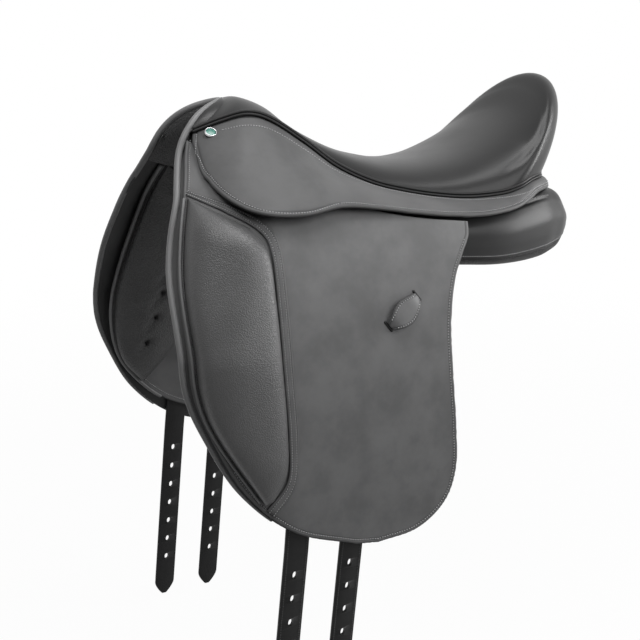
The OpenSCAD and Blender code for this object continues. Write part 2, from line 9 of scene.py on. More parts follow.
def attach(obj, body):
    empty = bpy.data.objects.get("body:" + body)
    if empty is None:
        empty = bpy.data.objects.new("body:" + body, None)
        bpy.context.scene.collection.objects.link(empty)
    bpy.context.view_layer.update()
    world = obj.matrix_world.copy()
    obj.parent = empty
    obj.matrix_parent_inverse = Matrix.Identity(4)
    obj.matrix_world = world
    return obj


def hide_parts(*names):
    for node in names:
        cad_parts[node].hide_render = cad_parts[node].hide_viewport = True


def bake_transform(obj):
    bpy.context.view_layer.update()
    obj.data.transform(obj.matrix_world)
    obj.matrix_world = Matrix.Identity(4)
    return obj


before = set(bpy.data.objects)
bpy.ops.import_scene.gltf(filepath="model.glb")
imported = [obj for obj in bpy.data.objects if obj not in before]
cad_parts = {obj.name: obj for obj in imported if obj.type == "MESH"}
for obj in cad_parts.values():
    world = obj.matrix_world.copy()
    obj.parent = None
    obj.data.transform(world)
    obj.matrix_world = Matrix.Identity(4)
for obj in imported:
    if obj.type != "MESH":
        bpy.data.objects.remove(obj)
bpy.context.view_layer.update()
mm = 0.001
flipX = np.array([-1, 1, 1])
print("frame loaded:", len(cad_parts), "nodes")


# curves and the side surface, in millimetres

flank = {"widest": 202, "narrowing": 32, "narrowOver": 125, "shoulder": 60, "shoulderBend": 0.0055,
         "foldFrom": -182, "foldOver": 93, "foldMost": 1.1, "foldPower": 1.5, "foldLow": 17, "foldMiddle": 14,
         "foldTop": 58}


def curveAt(points, t):
    # a smooth curve through the points, read at shares of its run
    p = np.asarray(points, float)
    last = len(p) - 1
    s = np.clip(np.atleast_1d(np.asarray(t, float)), 0, 1) * last
    i = np.minimum(s.astype(int), last - 1)
    f = (s - i)[:, None]
    b, c = p[i], p[i + 1]
    a = np.where((i == 0)[:, None], 2 * b - c, p[np.maximum(i - 1, 0)])
    d = np.where((i == last - 1)[:, None], 2 * c - b, p[np.minimum(i + 2, last)])
    square, cube = 2 * a - 5 * b + 4 * c - d, 3 * b - a - 3 * c + d
    return 0.5 * (2 * b + (c - a) * f + square * f**2 + cube * f**3)


def sampled(points, first, last, count):
    return curveAt(points, np.linspace(first, last, count))


def ramp(x):
    return np.clip(x, 0, 1)


def eased(x):
    k = ramp(x)
    return k * k * (3 - 2 * k)


def bell(x, width):
    return np.exp(-(x / width) ** 2)


def unit(v):
    return v / np.maximum(np.linalg.norm(v, axis=-1, keepdims=True), 1e-9)


def sideX(y, z):
    # half the width at the side, whose top front corner folds in
    fold = ramp((flank["foldFrom"] - y) / flank["foldOver"] / flank["foldMost"]) * flank["foldMost"]
    turnIn = flank["foldLow"] + flank["foldMiddle"] * eased((z + 60) / 170)
    turnIn = turnIn + flank["foldTop"] * ramp((z + 45) / 170) ** 1.2 * (1 - 0.5 * eased((z - 125) / 30))
    shoulder = flank["shoulderBend"] * np.maximum(0, z - flank["shoulder"]) ** 2
    narrowing = flank["narrowing"] * np.exp(z / flank["narrowOver"])
    return flank["widest"] - narrowing - shoulder - fold ** flank["foldPower"] * turnIn


def onSide(yz, off=0.0):
    yz = np.asarray(yz, float)
    return np.stack([sideX(yz[..., 0], yz[..., 1]) + off, yz[..., 0], yz[..., 1]], -1)


def runs(grid):
    # lengths along each row, up to its second point, its third and so on
    return np.cumsum(np.linalg.norm(np.diff(grid, axis=1), axis=-1), axis=1)


def pointsAt(grid, run, wants):
    # the point of each row where its run has the wanted length
    wants = np.broadcast_to(wants, len(grid))
    return np.array([[np.interp(want, lengths, row[1:, c]) for c in range(3)]
                     for row, lengths, want in zip(grid, run, wants)])


def evenly(path, step):
    path = np.asarray(path, float)
    run = np.concatenate([[0], runs(path[None])[0]])
    at = np.linspace(0, run[-1], max(3, int(run[-1] / step) + 1))
    return np.stack([np.interp(at, run, path[:, k]) for k in range(path.shape[1])], -1)


def insetLine(path, gap):
    # a flat line moved sideways, to the left of its run
    path = np.asarray(path, float)
    run = unit(np.gradient(path, axis=0))
    return path + gap * np.stack([-run[:, 1], run[:, 0]], -1)


def loft(first, last, shares):
    # rows of points from one line to another
    return first[None] + (last - first)[None] * shares[:, None, None]


def endSteps(count, share=1.0):
    # steps from 0 to 1 that are finer at both ends
    even = np.linspace(0, 1, count)
    return share * (0.5 - 0.5 * np.cos(even * np.pi)) + (1 - share) * even


# node maths: a socket with operators, and one call for any other node

def mathNode(operation, turned=False):
    def act(self, other):
        first, second = (other, self) if turned else (self, other)
        return self.board.add("ShaderNodeMath", {"operation": operation}, {0: first, 1: second})
    return act


class Field:
    def __init__(self, board, socket):
        self.board, self.socket = board, socket

    __add__, __radd__ = mathNode("ADD"), mathNode("ADD", True)
    __sub__, __rsub__ = mathNode("SUBTRACT"), mathNode("SUBTRACT", True)
    __mul__, __rmul__ = mathNode("MULTIPLY"), mathNode("MULTIPLY", True)


class Board:
    # the nodes of a material, a world or a geometry tree
    def __init__(self, owner, output="ShaderNodeOutputMaterial"):
        if hasattr(owner, "use_nodes"):
            owner.use_nodes = True
        self.owner, self.tree = owner, getattr(owner, "node_tree", owner)
        self.tree.nodes.clear()
        self.output = self.tree.nodes.new(output)

    def add(self, kind, settings=None, values=None, out=0):
        node = self.tree.nodes.new(kind)
        for key, value in (settings or {}).items():
            setattr(node, key, value)
        for key, value in (values or {}).items():
            if isinstance(value, Field):
                self.tree.links.new(value.socket, node.inputs[key])
            else:
                node.inputs[key].default_value = value
        return Field(self, node.outputs[out])

    def place(self):
        return self.add("ShaderNodeTexCoord", out="Object")

    def noise(self, scale, detail, rough=0.5, stretch=None, out="Fac"):
        place = self.place()
        if stretch:
            place = self.add("ShaderNodeMapping", {}, {"Vector": place, "Scale": stretch})
        return self.add("ShaderNodeTexNoise", {}, {"Vector": place, "Scale": scale, "Detail": detail,
                                                   "Roughness": rough}, out)

    def wave(self, way, scale, distortion):
        return self.add("ShaderNodeTexWave", {"bands_direction": way},
                        {"Vector": self.place(), "Scale": scale, "Distortion": distortion}, "Fac")

    def attribute(self, name):
        return self.add("ShaderNodeAttribute", {"attribute_name": name}, {}, "Fac")

    def between(self, low, high, factor):
        return self.add("ShaderNodeMapRange", {"interpolation_type": "SMOOTHSTEP"},
                        {"Value": factor, "From Min": low, "From Max": high})

    def tint(self, factor, a, b):
        return self.add("ShaderNodeMix", {"data_type": "RGBA"}, {0: factor, 6: a, 7: b}, 2)

    def bump(self, height, depth):
        return self.add("ShaderNodeBump", {}, {"Height": height, "Distance": depth, "Strength": 1.0})

    def paint(self, values):
        return self.finish(self.add("ShaderNodeBsdfPrincipled", {}, values))

    def finish(self, field):
        self.tree.links.new(field.socket, self.output.inputs[0])
        return self.owner


def grey(value):
    return (value, value, value * 1.01, 1)


# materials

plainLook = {"shade": 0.05, "mottle": 0.13, "mottleScale": 24.0, "mottleRough": 0.12, "specular": 0.5,
             "poreScale": 1500.0, "poreDepth": 0.05, "poreRough": 0.08, "rough": 0.5,
             "edgeDark": 0.8, "edgeShade": 0.3, "swirl": 0.0016, "swirlScale": 180.0,
             "pebbleDepth": 0.0, "pebbleScale": 560.0, "pebbleMask": False, "pebbleRough": 0.1,
             "creviceDark": 0.25, "creviceShade": 0.45}
looks = {
    "smoothLeather": {**plainLook, "shade": 0.098, "mottle": 0.16, "specular": 0.2},
    # painted shade: the skirts take the flap leather written darker, against the stronger light on their
    # upward faces
    "skirtLeather": {**plainLook, "shade": 0.062, "mottle": 0.16, "specular": 0.2},
    "seatLeather": {**plainLook, "shade": 0.014, "mottle": 0.06, "rough": 0.33, "poreDepth": 0.03,
                    "specular": 0.18},
    "blockLeather": {**plainLook, "shade": 0.062, "mottle": 0.08, "rough": 0.36, "specular": 0.35,
                     "pebbleDepth": 0.16, "pebbleScale": 860.0},
    "panelLeather": {**plainLook, "shade": 0.034, "mottle": 0.06, "rough": 0.36, "specular": 0.14,
                     "edgeDark": 0.9, "edgeShade": 0.08, "pebbleDepth": 0.3, "pebbleScale": 480.0,
                     "pebbleMask": True},
    "padLeather": {**plainLook, "shade": 0.046, "rough": 0.48, "specular": 0.25, "pebbleDepth": 0.4},
    "liningLeather": {**plainLook, "shade": 0.03, "specular": 0.2, "edgeDark": 0.2},
    # painted highlight: rolled edges are written lighter than the flap leather, standing for the bright line
    # along them
    "rolledLeather": {**plainLook, "shade": 0.13, "mottle": 0.05, "rough": 0.42, "edgeDark": 0.0,
                      "specular": 0.25},
    "pipingLeather": {**plainLook, "shade": 0.012, "mottle": 0.05, "rough": 0.4, "edgeDark": 0.0,
                      "specular": 0.15},
    "strapLeather": {**plainLook, "shade": 0.018, "mottle": 0.2, "mottleScale": 60.0, "poreScale": 700.0,
                     "poreDepth": 0.09, "specular": 0.15},
}
plainMetal = {"metal": 1.0, "detail": 3.0, "uneven": 0.12, "coat": 0.0, "stretch": None}
plainGrain = {"metal": 0.0, "detail": 5.0, "uneven": 0.1, "coat": 0.0, "stretch": None}
grains = {
    "brushedSteel": {**plainMetal, "dark": (0.45, 0.45, 0.46, 1), "light": (0.62, 0.62, 0.63, 1),
                     "rough": 0.35, "scale": 300.0, "stretch": (1, 0.08, 1), "depth": 0.03},
    "polishedRim": {**plainMetal, "dark": (0.4, 0.4, 0.41, 1), "light": (0.52, 0.52, 0.53, 1),
                    "rough": 0.2, "scale": 500.0, "depth": 0.005},
    "greenEnamel": {**plainGrain, "dark": (0.003, 0.08, 0.058, 1), "light": (0.006, 0.14, 0.1, 1),
                    "rough": 0.32, "scale": 900.0, "depth": 0.01, "coat": 0.05},
    "foamGrain": {**plainGrain, "dark": (0.5, 0.46, 0.32, 1), "light": (0.72, 0.68, 0.5, 1),
                  "rough": 0.9, "scale": 700.0, "depth": 0.3},
    "treeFibre": {**plainGrain, "dark": (0.008, 0.006, 0.005, 1), "light": (0.02, 0.015, 0.011, 1),
                  "rough": 0.7, "scale": 90.0, "stretch": (3, 0.35, 3), "depth": 0.12},
}
# painted highlight: the pale thread stands for black thread with the light caught on it
threads = {"paleThread": 0.3, "darkThread": 0.03}
webWeave = {"scale": 260.0, "distortion": 0.3, "dark": 0.012, "light": 0.05, "depth": 0.3}


def leather(name, look):
    # mottled dye, fine pores and pebbled grain where there is some; the edge attribute darkens the burnished
    # rims and also paints shade into sunk grooves and onto the panels' top and underside
    board = Board(bpy.data.materials.new(name))
    shade, mottle = look["shade"], look["mottle"]
    cloud = board.noise(look["mottleScale"], 4.0, 0.6)
    pores = board.noise(look["poreScale"], 2.0, 0.6)
    dye = board.tint(board.between(0.3, 0.7, cloud), grey(shade * (1 - mottle)), grey(shade * (1 + mottle)))
    # painted shade in grooves and on the panels' top and underside, with the burnished rims, all through the
    # edge attribute
    colour = board.tint(board.attribute("edge") * look["edgeDark"], dye, grey(shade * look["edgeShade"]))
    height = pores * look["poreDepth"]
    rough = look["rough"] + (cloud - 0.5) * look["mottleRough"] + (pores - 0.5) * look["poreRough"]
    if look["pebbleDepth"] > 0:
        swirl = board.noise(look["swirlScale"], 2.0, out="Color")
        warp = board.add("ShaderNodeVectorMath", {"operation": "MULTIPLY_ADD"},
                         {0: swirl, 1: (look["swirl"],) * 3, 2: board.place()})
        cells = board.add("ShaderNodeTexVoronoi", {"feature": "SMOOTH_F1"},
                          {"Vector": warp, "Scale": look["pebbleScale"], "Smoothness": 0.35}, "Distance")
        pebble = 1 - board.between(0.15, 0.75, cells)
        if look["pebbleMask"]:
            mask = board.attribute("grain")
            pebble = pebble * mask
            rough = rough + mask * look["pebbleRough"]
        height = height + pebble * look["pebbleDepth"]
        # painted shade: the crevices between the pebbles are darkened in the colour
        colour = board.tint((1 - pebble) * look["creviceDark"], colour, grey(shade * look["creviceShade"]))
    return board.paint({"Base Color": colour, "Roughness": rough, "Specular IOR Level": look["specular"],
                        "Normal": board.bump(height, mm)})


def grained(name, look):
    # metal, enamel, foam and wood: two tones of one grain
    board = Board(bpy.data.materials.new(name))
    grain = board.noise(look["scale"], look["detail"], stretch=look["stretch"])
    tone = grain if look["metal"] else board.between(0.3, 0.7, grain)
    return board.paint({"Base Color": board.tint(tone, look["dark"], look["light"]),
                        "Metallic": look["metal"], "Coat Weight": look["coat"],
                        "Roughness": look["rough"] + (grain - 0.5) * look["uneven"],
                        "Normal": board.bump(grain, look["depth"] * mm)})


def thread(name, shade):
    board = Board(bpy.data.materials.new(name))
    twist = board.wave("DIAGONAL", 900.0, 1.0)
    return board.paint({"Base Color": board.tint(twist, grey(shade * 0.75), grey(shade * 1.2)),
                        "Roughness": 0.6, "Normal": board.bump(twist, 0.1 * mm)})


def webbing(name):
    board = Board(bpy.data.materials.new(name))
    across, along = [board.wave(way, webWeave["scale"], webWeave["distortion"]) for way in "YZ"]
    weave = across * along
    return board.paint({"Base Color": board.tint(weave, grey(webWeave["dark"]), grey(webWeave["light"])),
                        "Roughness": 0.8, "Normal": board.bump(weave, webWeave["depth"] * mm)})


materials = {"girthWeb": webbing("girthWeb")}
for make, table in ((leather, looks), (grained, grains), (thread, threads)):
    materials.update({name: make(name, look) for name, look in table.items()})
print("materials made:", len(materials))


# meshes

allRound = ("top", "bottom", "front", "rear")
lowRound = ("bottom", "front", "rear")
rimSteps = np.array([0, 0.25, 0.6, 1.0, 1.5, 2.1, 2.8, 3.5, 4.2, 4.9, 5.6, 6.3, 7.0, 8.0, 9.5, 11.5, 14.0])


def gridFaces(rows, cols, start=0, wrap=False):
    i, j = np.meshgrid(np.arange(rows - 1), np.arange(cols if wrap else cols - 1), indexing="ij")
    k = (j + 1) % cols
    quads = np.stack([i * cols + j, i * cols + k, (i + 1) * cols + k, (i + 1) * cols + j], -1)
    return quads.reshape(-1, 4) + start


def mirrored(points):
    return np.asarray(points) * flipX


def turned(faces):
    return [f[::-1] for f in faces]


def addObject(name, data):
    thing = bpy.data.objects.new(name, data)
    bpy.context.scene.collection.objects.link(thing)
    return thing


def makePiece(side, name, material, points, faces, fields=None):
    if side == "off":
        points, faces = mirrored(points), turned(faces)
    mesh = bpy.data.meshes.new(side + name)
    mesh.from_pydata((np.asarray(points) * mm).tolist(), [], [list(map(int, f)) for f in faces])
    mesh.materials.append(materials[material])
    for field, values in (fields or {}).items():
        values = np.asarray(values, np.float32).ravel()
        mesh.attributes.new(field, "FLOAT", "POINT").data.foreach_set("value", values)
    mesh.shade_smooth()
    mesh.validate()
    return addObject(side + name, mesh)


def dress(piece, slot, *nodes, fill=None):
    # hides the CAD nodes that a piece stands for
    if nodes:
        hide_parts(*nodes)


def settle(piece, body, slot, *nodes, fill=None):
    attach(piece, body)
    dress(piece, slot, *nodes, fill=fill)


def bend(piece):
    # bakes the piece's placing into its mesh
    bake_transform(piece)


def bothSides(*makers):
    for side in ("near", "off"):
        for make in makers:
            make(side)


def gridNormals(grid):
    return unit(np.cross(np.gradient(grid, axis=0), np.gradient(grid, axis=1)))


def nearest(grid, targets):
    # the number of the nearest target, and how far it is
    tree = KDTree(len(targets))
    for k, p in enumerate(targets):
        tree.insert(p, k)
    tree.balance()
    found = np.array([tree.find(p)[1:] for p in grid.reshape(-1, 3)])
    return found.reshape(*grid.shape[:2], 2).transpose(2, 0, 1)


def borderDistance(grid, sides):
    edges = {"top": grid[0], "bottom": grid[-1], "front": grid[:, 0], "rear": grid[:, -1]}
    return nearest(grid, np.concatenate([evenly(edges[s], 1.0) for s in sides]))[1]


def rounding(distance, radius):
    # how far a face drops at its rim: 1 at the edge, 0 a radius inside
    return 1 - np.sqrt(1 - (1 - ramp(distance / radius)) ** 2)


def leatherShell(grid, thickness, sides, grooves=(), innerGrooves=(), edgeShare=1.0):
    # a sheet with rounded edges; a groove is its distance from the border, its depth and its width
    normal = gridNormals(grid)
    distance = borderDistance(grid, sides)
    drop = 0.46 * thickness * rounding(distance, thickness * 0.6)
    outer, inner, edge = -drop, drop - thickness, bell(distance, 1.6)
    for at, depth, width in grooves:
        groove = bell(distance - at, width)
        outer = outer - depth * groove
        # painted shade: a sunk groove is darkened in the colour through the edge attribute
        if depth > 0:
            edge = np.maximum(edge, 0.9 * groove)
    for at, depth, width in innerGrooves:
        inner = inner + depth * bell(distance - at, width)
    points, faces = closedPair(grid + normal * outer[..., None], grid + normal * inner[..., None])
    return points, faces, {"edge": np.tile(edge.ravel(), 2) * edgeShare}


def rimLoop(rows, cols):
    return (list(range(cols)) + [r * cols + cols - 1 for r in range(1, rows)]
            + [(rows - 1) * cols + c for c in range(cols - 2, -1, -1)]
            + [r * cols for r in range(rows - 2, 0, -1)])


def closedPair(outer, inner):
    # a solid between two grids whose rows run down and columns run back
    rows, cols = outer.shape[:2]
    count = rows * cols
    faces = np.concatenate([gridFaces(rows, cols)[:, ::-1], gridFaces(rows, cols, count)]).tolist()
    ring = rimLoop(rows, cols)
    faces += [[b, b + count, a + count, a] for a, b in zip(ring, ring[1:] + ring[:1])]
    return np.concatenate([outer.reshape(-1, 3), inner.reshape(-1, 3)]), turned(faces)


def ringSolid(rings):
    # closed rings one after another, with flat ends
    count, sides = rings.shape[:2]
    faces = gridFaces(count, sides, 0, True).tolist()
    faces += [list(range(sides))[::-1], [(count - 1) * sides + k for k in range(sides)]]
    return rings.reshape(-1, 3), faces


def edgeSteps(near, far, middle):
    # places across a sheet: fine at both rims, even between them
    start = rimSteps * min(1, 0.42 * (far - near) / rimSteps[-1])
    inside = np.linspace(near + start[-1], far - start[-1], middle + 2)[1:-1]
    return np.concatenate([near + start, inside, far - start[::-1]])


def sheetGrid(front, rear, vs, middle):
    rows = []
    for a, b in zip(curveAt(front, vs), curveAt(rear, vs)):
        span = np.linalg.norm(b - a)
        rows.append(a + (b - a) * (edgeSteps(0, span, middle) / span)[:, None])
    return np.array(rows)


def tube(path, radius, sides=12):
    path = np.asarray(path, float)
    run = unit(np.gradient(path, axis=0))
    aside = unit(np.cross(run, [0.0, 0.0, 1.0]) + 1e-9)
    over = np.cross(aside, run)
    a = np.linspace(0, 2 * np.pi, sides, endpoint=False)[:, None]
    r = np.broadcast_to(radius, len(path))
    rings = path[:, None] + r[:, None, None] * (np.cos(a) * aside[:, None] + np.sin(a) * over[:, None])
    caps = [(k, math.sqrt(1 - k * k)) for k in (0.5, 0.85, 0.98)]  # half-round ends
    head = [path[0] - run[0] * r[0] * k + (rings[0] - path[0]) * s for k, s in caps[::-1]]
    tail = [path[-1] + run[-1] * r[-1] * k + (rings[-1] - path[-1]) * s for k, s in caps]
    points, faces = ringSolid(np.concatenate([np.array(head), rings, np.array(tail)]))
    return points, turned(faces)


def joined(shapes):
    points, faces, start = [], [], 0
    for p, f in shapes:
        points.append(p)
        faces += [[k + start for k in face] for face in f]
        start += len(p)
    return np.concatenate(points), faces


def lathe(profile, sides=40):
    a = np.linspace(0, 2 * np.pi, sides, endpoint=False)
    profile = np.asarray(profile, float)
    return ringSolid(np.stack([profile[:, :1] * np.cos(a), profile[:, :1] * np.sin(a),
                               np.repeat(profile[:, 1:], sides, 1)], -1))


# geometry trees and their results

def geometryBoard(name, inputs):
    # a new tree, with its named inputs as fields
    tree = bpy.data.node_groups.new(name, "GeometryNodeTree")
    inputs = {"Geometry": "Geometry", **inputs}
    for label, kind in inputs.items():
        tree.interface.new_socket(label, in_out="INPUT", socket_type="NodeSocket" + kind)
    tree.interface.new_socket("Geometry", in_out="OUTPUT", socket_type="NodeSocketGeometry")
    board = Board(tree, "NodeGroupOutput")
    start = tree.nodes.new("NodeGroupInput")
    return board, {label: Field(board, start.outputs[label]) for label in inputs}


def stitchTree():
    # a small thread on every step of a line
    board, given = geometryBoard("stitchRow", {"Pitch": "Float", "Length": "Float", "Radius": "Float",
                                               "Thread": "Material"})
    line = board.add("GeometryNodeMeshToCurve", {}, {"Mesh": given["Geometry"]})
    steps = board.add("GeometryNodeResampleCurve", {"mode": "LENGTH"},
                      {"Curve": line, "Length": given["Pitch"]})
    bead = board.add("GeometryNodeMeshUVSphere", {}, {"Segments": 6, "Rings": 5, "Radius": 1.0}, "Mesh")
    size = board.add("ShaderNodeCombineXYZ", {}, {"X": given["Length"] * 0.5, "Y": given["Radius"],
                                                  "Z": given["Radius"]})
    shape = board.add("GeometryNodeTransform", {}, {"Geometry": bead, "Scale": size})
    turn = board.add("FunctionNodeAlignRotationToVector", {"axis": "X"},
                     {"Vector": board.add("GeometryNodeInputTangent")})
    put = board.add("GeometryNodeInstanceOnPoints", {},
                    {"Points": steps, "Instance": shape, "Rotation": turn})
    real = board.add("GeometryNodeRealizeInstances", {}, {0: put})
    smooth = board.add("GeometryNodeSetShadeSmooth", {}, {0: real})
    return board.finish(board.add("GeometryNodeSetMaterial", {}, {"Geometry": smooth,
                                                                  "Material": given["Thread"]}))


def holeTree():
    # a row of oval holes, cut through a strap
    board, given = geometryBoard("strapHoles", {"Count": "Int", "First": "Vector", "Step": "Vector",
                                                "Oval": "Vector", "Leather": "Material"})
    row = board.add("GeometryNodeMeshLine", {}, {"Count": given["Count"], "Start Location": given["First"],
                                                 "Offset": given["Step"]})
    punch = board.add("GeometryNodeMeshCylinder", {}, {"Vertices": 20, "Radius": 1.0, "Depth": 1.0}, "Mesh")
    oval = board.add("GeometryNodeTransform", {}, {"Geometry": punch, "Scale": given["Oval"]})
    turn = board.add("GeometryNodeTransform", {}, {"Geometry": oval, "Rotation": (0, math.pi / 2, 0)})
    put = board.add("GeometryNodeInstanceOnPoints", {}, {"Points": row, "Instance": turn})
    real = board.add("GeometryNodeRealizeInstances", {}, {0: put})
    cut = board.add("GeometryNodeMeshBoolean", {"operation": "DIFFERENCE"},
                    {"Mesh 1": given["Geometry"], "Mesh 2": real}, "Mesh")
    return board.finish(board.add("GeometryNodeSetMaterial", {}, {"Geometry": cut,
                                                                  "Material": given["Leather"]}))


def evaluated(piece, tree, settings):
    # runs a node tree on a piece and keeps its result as a plain mesh
    modifier = piece.modifiers.new(tree.name, "NODES")
    modifier.node_group = tree
    for item in tree.interface.items_tree:
        if item.in_out == "INPUT" and item.name in settings:
            modifier[item.identifier] = settings[item.name]
    graph = bpy.context.evaluated_depsgraph_get()
    mesh = bpy.data.meshes.new_from_object(piece.evaluated_get(graph))
    piece.modifiers.remove(modifier)
    old = piece.data
    piece.data = mesh
    mesh.name = piece.name
    bpy.data.meshes.remove(old)


# stitches, gathered while the pieces are made

stitchKinds = {"plain": {"Pitch": 0.0028, "Length": 0.0018, "Radius": 0.00055},
               "fine": {"Pitch": 0.0025, "Length": 0.0016, "Radius": 0.0005}}
stitchRow = stitchTree()
stitchRows = {}  # body, thread and kind to a list of lines


def stitch(side, body, line, thread="paleThread", kind="plain"):
    line = mirrored(line) if side == "off" else np.asarray(line)
    stitchRows.setdefault((body, thread, kind), []).append(line)


def makeStitches(bends):
    for (body, threadName, kind), lines in stitchRows.items():
        edges, start = [], 0
        for line in lines:
            edges += [(start + k, start + k + 1) for k in range(len(line) - 1)]
            start += len(line)
        name = "stitches." + body + "." + threadName + "." + kind
        mesh = bpy.data.meshes.new(name)
        mesh.from_pydata((np.concatenate(lines) * mm).tolist(), edges, [])
        piece = addObject(name, mesh)
        evaluated(piece, stitchRow, {**stitchKinds[kind], "Thread": materials[threadName]})
        side, part = body.split("_", 1) if "_" in body else ("", body)
        if part in bends:
            bends[part](side, piece)
        else:
            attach(piece, body)
    print("stitch rows made:", sum(len(v) for v in stitchRows.values()))


# camera and light, in metres

view = {"place": (1.012, -0.557, 0.224), "azimuth": 64.0, "elevation": 14.5, "lens": 58.0, "sensor": 36.0}
lamps = {
    "topBox": {"azimuth": 105, "elevation": 76, "far": 1.2, "size": (0.7, 0.45), "along": (0.84, 0.55, 0),
               "power": 11},
    "sideBox": {"azimuth": 106, "elevation": 26, "far": 1.05, "size": (0.6, 0.6), "along": (0, 0, 1),
                "power": 5.5},
    "frontBox": {"azimuth": 28, "elevation": 54, "far": 1.2, "size": (0.45, 0.6), "along": (0, 0, 1),
                 "power": 6.5},
    "rearBox": {"azimuth": 160, "elevation": 14, "far": 1.4, "size": (0.9, 0.45), "along": (0, 0, 1),
                "power": 17},
}
studio = {"fill": (0.04, 0.04, 0.041, 1), "white": (1, 1, 1, 1), "floor": (0.45, 0.45, 0.45, 1),
          "floorReach": 14, "floorHeight": -0.48, "shadow": 0.03, "shadowFrom": 0.3, "shadowTo": 2.4}


def direction(azimuth, elevation):
    a, e = math.radians(azimuth), math.radians(elevation)
    return Vector((math.sin(a) * math.cos(e), -math.cos(a) * math.cos(e), math.sin(e)))


def makeCamera():
    camera = addObject("camera", bpy.data.cameras.new("camera"))
    camera.data.lens, camera.data.sensor_width = view["lens"], view["sensor"]
    camera.data.clip_start, camera.data.clip_end = 0.05, 50
    camera.location = view["place"]
    toCamera = direction(view["azimuth"], view["elevation"])
    camera.rotation_euler = (-toCamera).to_track_quat("-Z", "Y").to_euler()
    bpy.context.scene.camera = camera
    bpy.context.scene.view_settings.view_transform = "Standard"


def makeLamp(name, lamp):
    light = addObject(name, bpy.data.lights.new(name, "AREA"))
    light.data.shape, light.data.energy = "RECTANGLE", lamp["power"]
    light.data.size, light.data.size_y = lamp["size"]
    way = direction(lamp["azimuth"], lamp["elevation"])
    light.location = way * lamp["far"]
    aside = Vector(lamp["along"])
    aside = (aside - way * aside.dot(way)).normalized()
    light.rotation_euler = Matrix((aside, way.cross(aside), way)).transposed().to_euler()


def seenDirectly(board):
    # 1 for the rays that show the background: seen, mirrored or through glass
    rays = board.tree.nodes.new("ShaderNodeLightPath").outputs
    total = Field(board, rays["Is Camera Ray"])
    for name in ("Is Glossy Ray", "Is Transmission Ray"):
        total = board.add("ShaderNodeMath", {"operation": "MAXIMUM"}, {0: total, 1: Field(board, rays[name])})
    return total


def paleWorld():
    world = bpy.data.worlds.new("studio")
    bpy.context.scene.world = world
    board = Board(world, "ShaderNodeOutputWorld")
    fill = board.add("ShaderNodeBackground", {}, {"Color": studio["fill"]})
    white = board.add("ShaderNodeBackground", {}, {"Color": studio["white"], "Strength": 1.0})
    board.finish(board.add("ShaderNodeMixShader", {}, {0: seenDirectly(board), 1: fill, 2: white}))


def paleFloor():
    board = Board(bpy.data.materials.new("paleFloor"))
    matt = board.add("ShaderNodeBsdfDiffuse", {}, {"Color": studio["floor"]})
    glow = board.add("ShaderNodeEmission", {}, {"Color": studio["white"], "Strength": 1.0})
    away = board.add("ShaderNodeVectorMath", {"operation": "LENGTH"}, {0: board.place()}, "Value")
    # a little of the shadow shows near the object
    clear = board.between(studio["shadowFrom"], studio["shadowTo"], away)
    share = seenDirectly(board) * (1 - studio["shadow"] + studio["shadow"] * clear)
    board.finish(board.add("ShaderNodeMixShader", {}, {0: share, 1: matt, 2: glow}))
    mesh = bpy.data.meshes.new("floor")
    reach, low = studio["floorReach"], studio["floorHeight"]
    corners = [(-reach, -reach, low), (reach, -reach, low), (reach, reach, low), (-reach, reach, low)]
    mesh.from_pydata(corners, [], [(0, 1, 2, 3)])
    mesh.materials.append(board.owner)
    addObject("floor", mesh)


makeCamera()
for name, lamp in lamps.items():
    makeLamp(name, lamp)
paleWorld()
paleFloor()
print("camera, lamps and floor set")


# seat

seat = {"rows": 320, "columns": 100, "endShare": 0.45, "thickness": 3.0, "crease": 1.3, "creaseWidth": 4.5,
        "frontRows": 22, "rimShare": 0.56, "frontSwell": 2.2, "edgeShare": 0.3}
foam = {"rows": 200, "columns": 70, "under": 3.4, "edge": 4, "swell": 18}
rimLine = [(0, -177.5, 178.4), (11, -185.5, 176.3), (19.5, -198, 171.9), (27, -210, 165.2),
           (33.5, -220, 156.5), (38.2, -228.5, 146), (42.3, -234.5, 135), (48.5, -238.8, 124.5),
           (57, -242.7, 114.3), (66, -246.3, 104.6), (75, -249.8, 95.7)]
creaseLine = [(12.6, 0.43), (11.97, 0.54), (11.28, 0.623), (10.72, 0.677), (10.17, 0.708), (9.7, 0.755),
              (9.5, 0.815), (9.47, 0.895)]  # station, and share of the way from the middle to the seam
rollShift = np.array([0, -1.2, -1.0])
midLine = [(0, -175, 179.5), (0, -160, 181), (0, -135, 171), (0, -104, 147), (0, -64, 128), (0, -22, 117),
           (0, 12, 112), (0, 50, 113), (0, 94, 122), (0, 135, 140), (0, 168, 161), (0, 192, 186),
           (0, 207, 201), (0, 222, 198), (0, 230, 180), (0, 225.5, 140), (0, 201.5, 89.5)]
weltLine = [(39.5, -221.8, 149.2), (48, -194.4, 159.8), (55, -169.6, 165.8), (57, -145.6, 159.5),
            (62, -111.6, 137.6), (69, -78, 112.5), (78, -42, 95), (86, -9, 86), (95, 25, 80), (103, 61, 77),
            (109, 99, 79), (109, 121, 84), (102, 141, 90), (88, 163, 92), (65, 181.5, 91), (35, 195.5, 89),
            (0.6, 200.8, 88)]
lastStation = len(midLine) - 1


def seatGrid(ts, ss):
    c, w = curveAt(midLine, ts)[:, None], curveAt(weltLine, ts)[:, None]
    a = ss * np.pi / 2
    grid = w + (c - w) * np.cos(a)[None, :, None]
    grid[..., 0] = w[..., 0] * np.sin(a)[None]
    return grid


def across(line, ks):
    # a half line read over both sides of the middle plane, smooth at the middle
    whole = [(-p[0], p[1], p[2]) for p in line[:0:-1]] + list(line)
    return curveAt(whole, (np.asarray(ks) + 1) / 2)


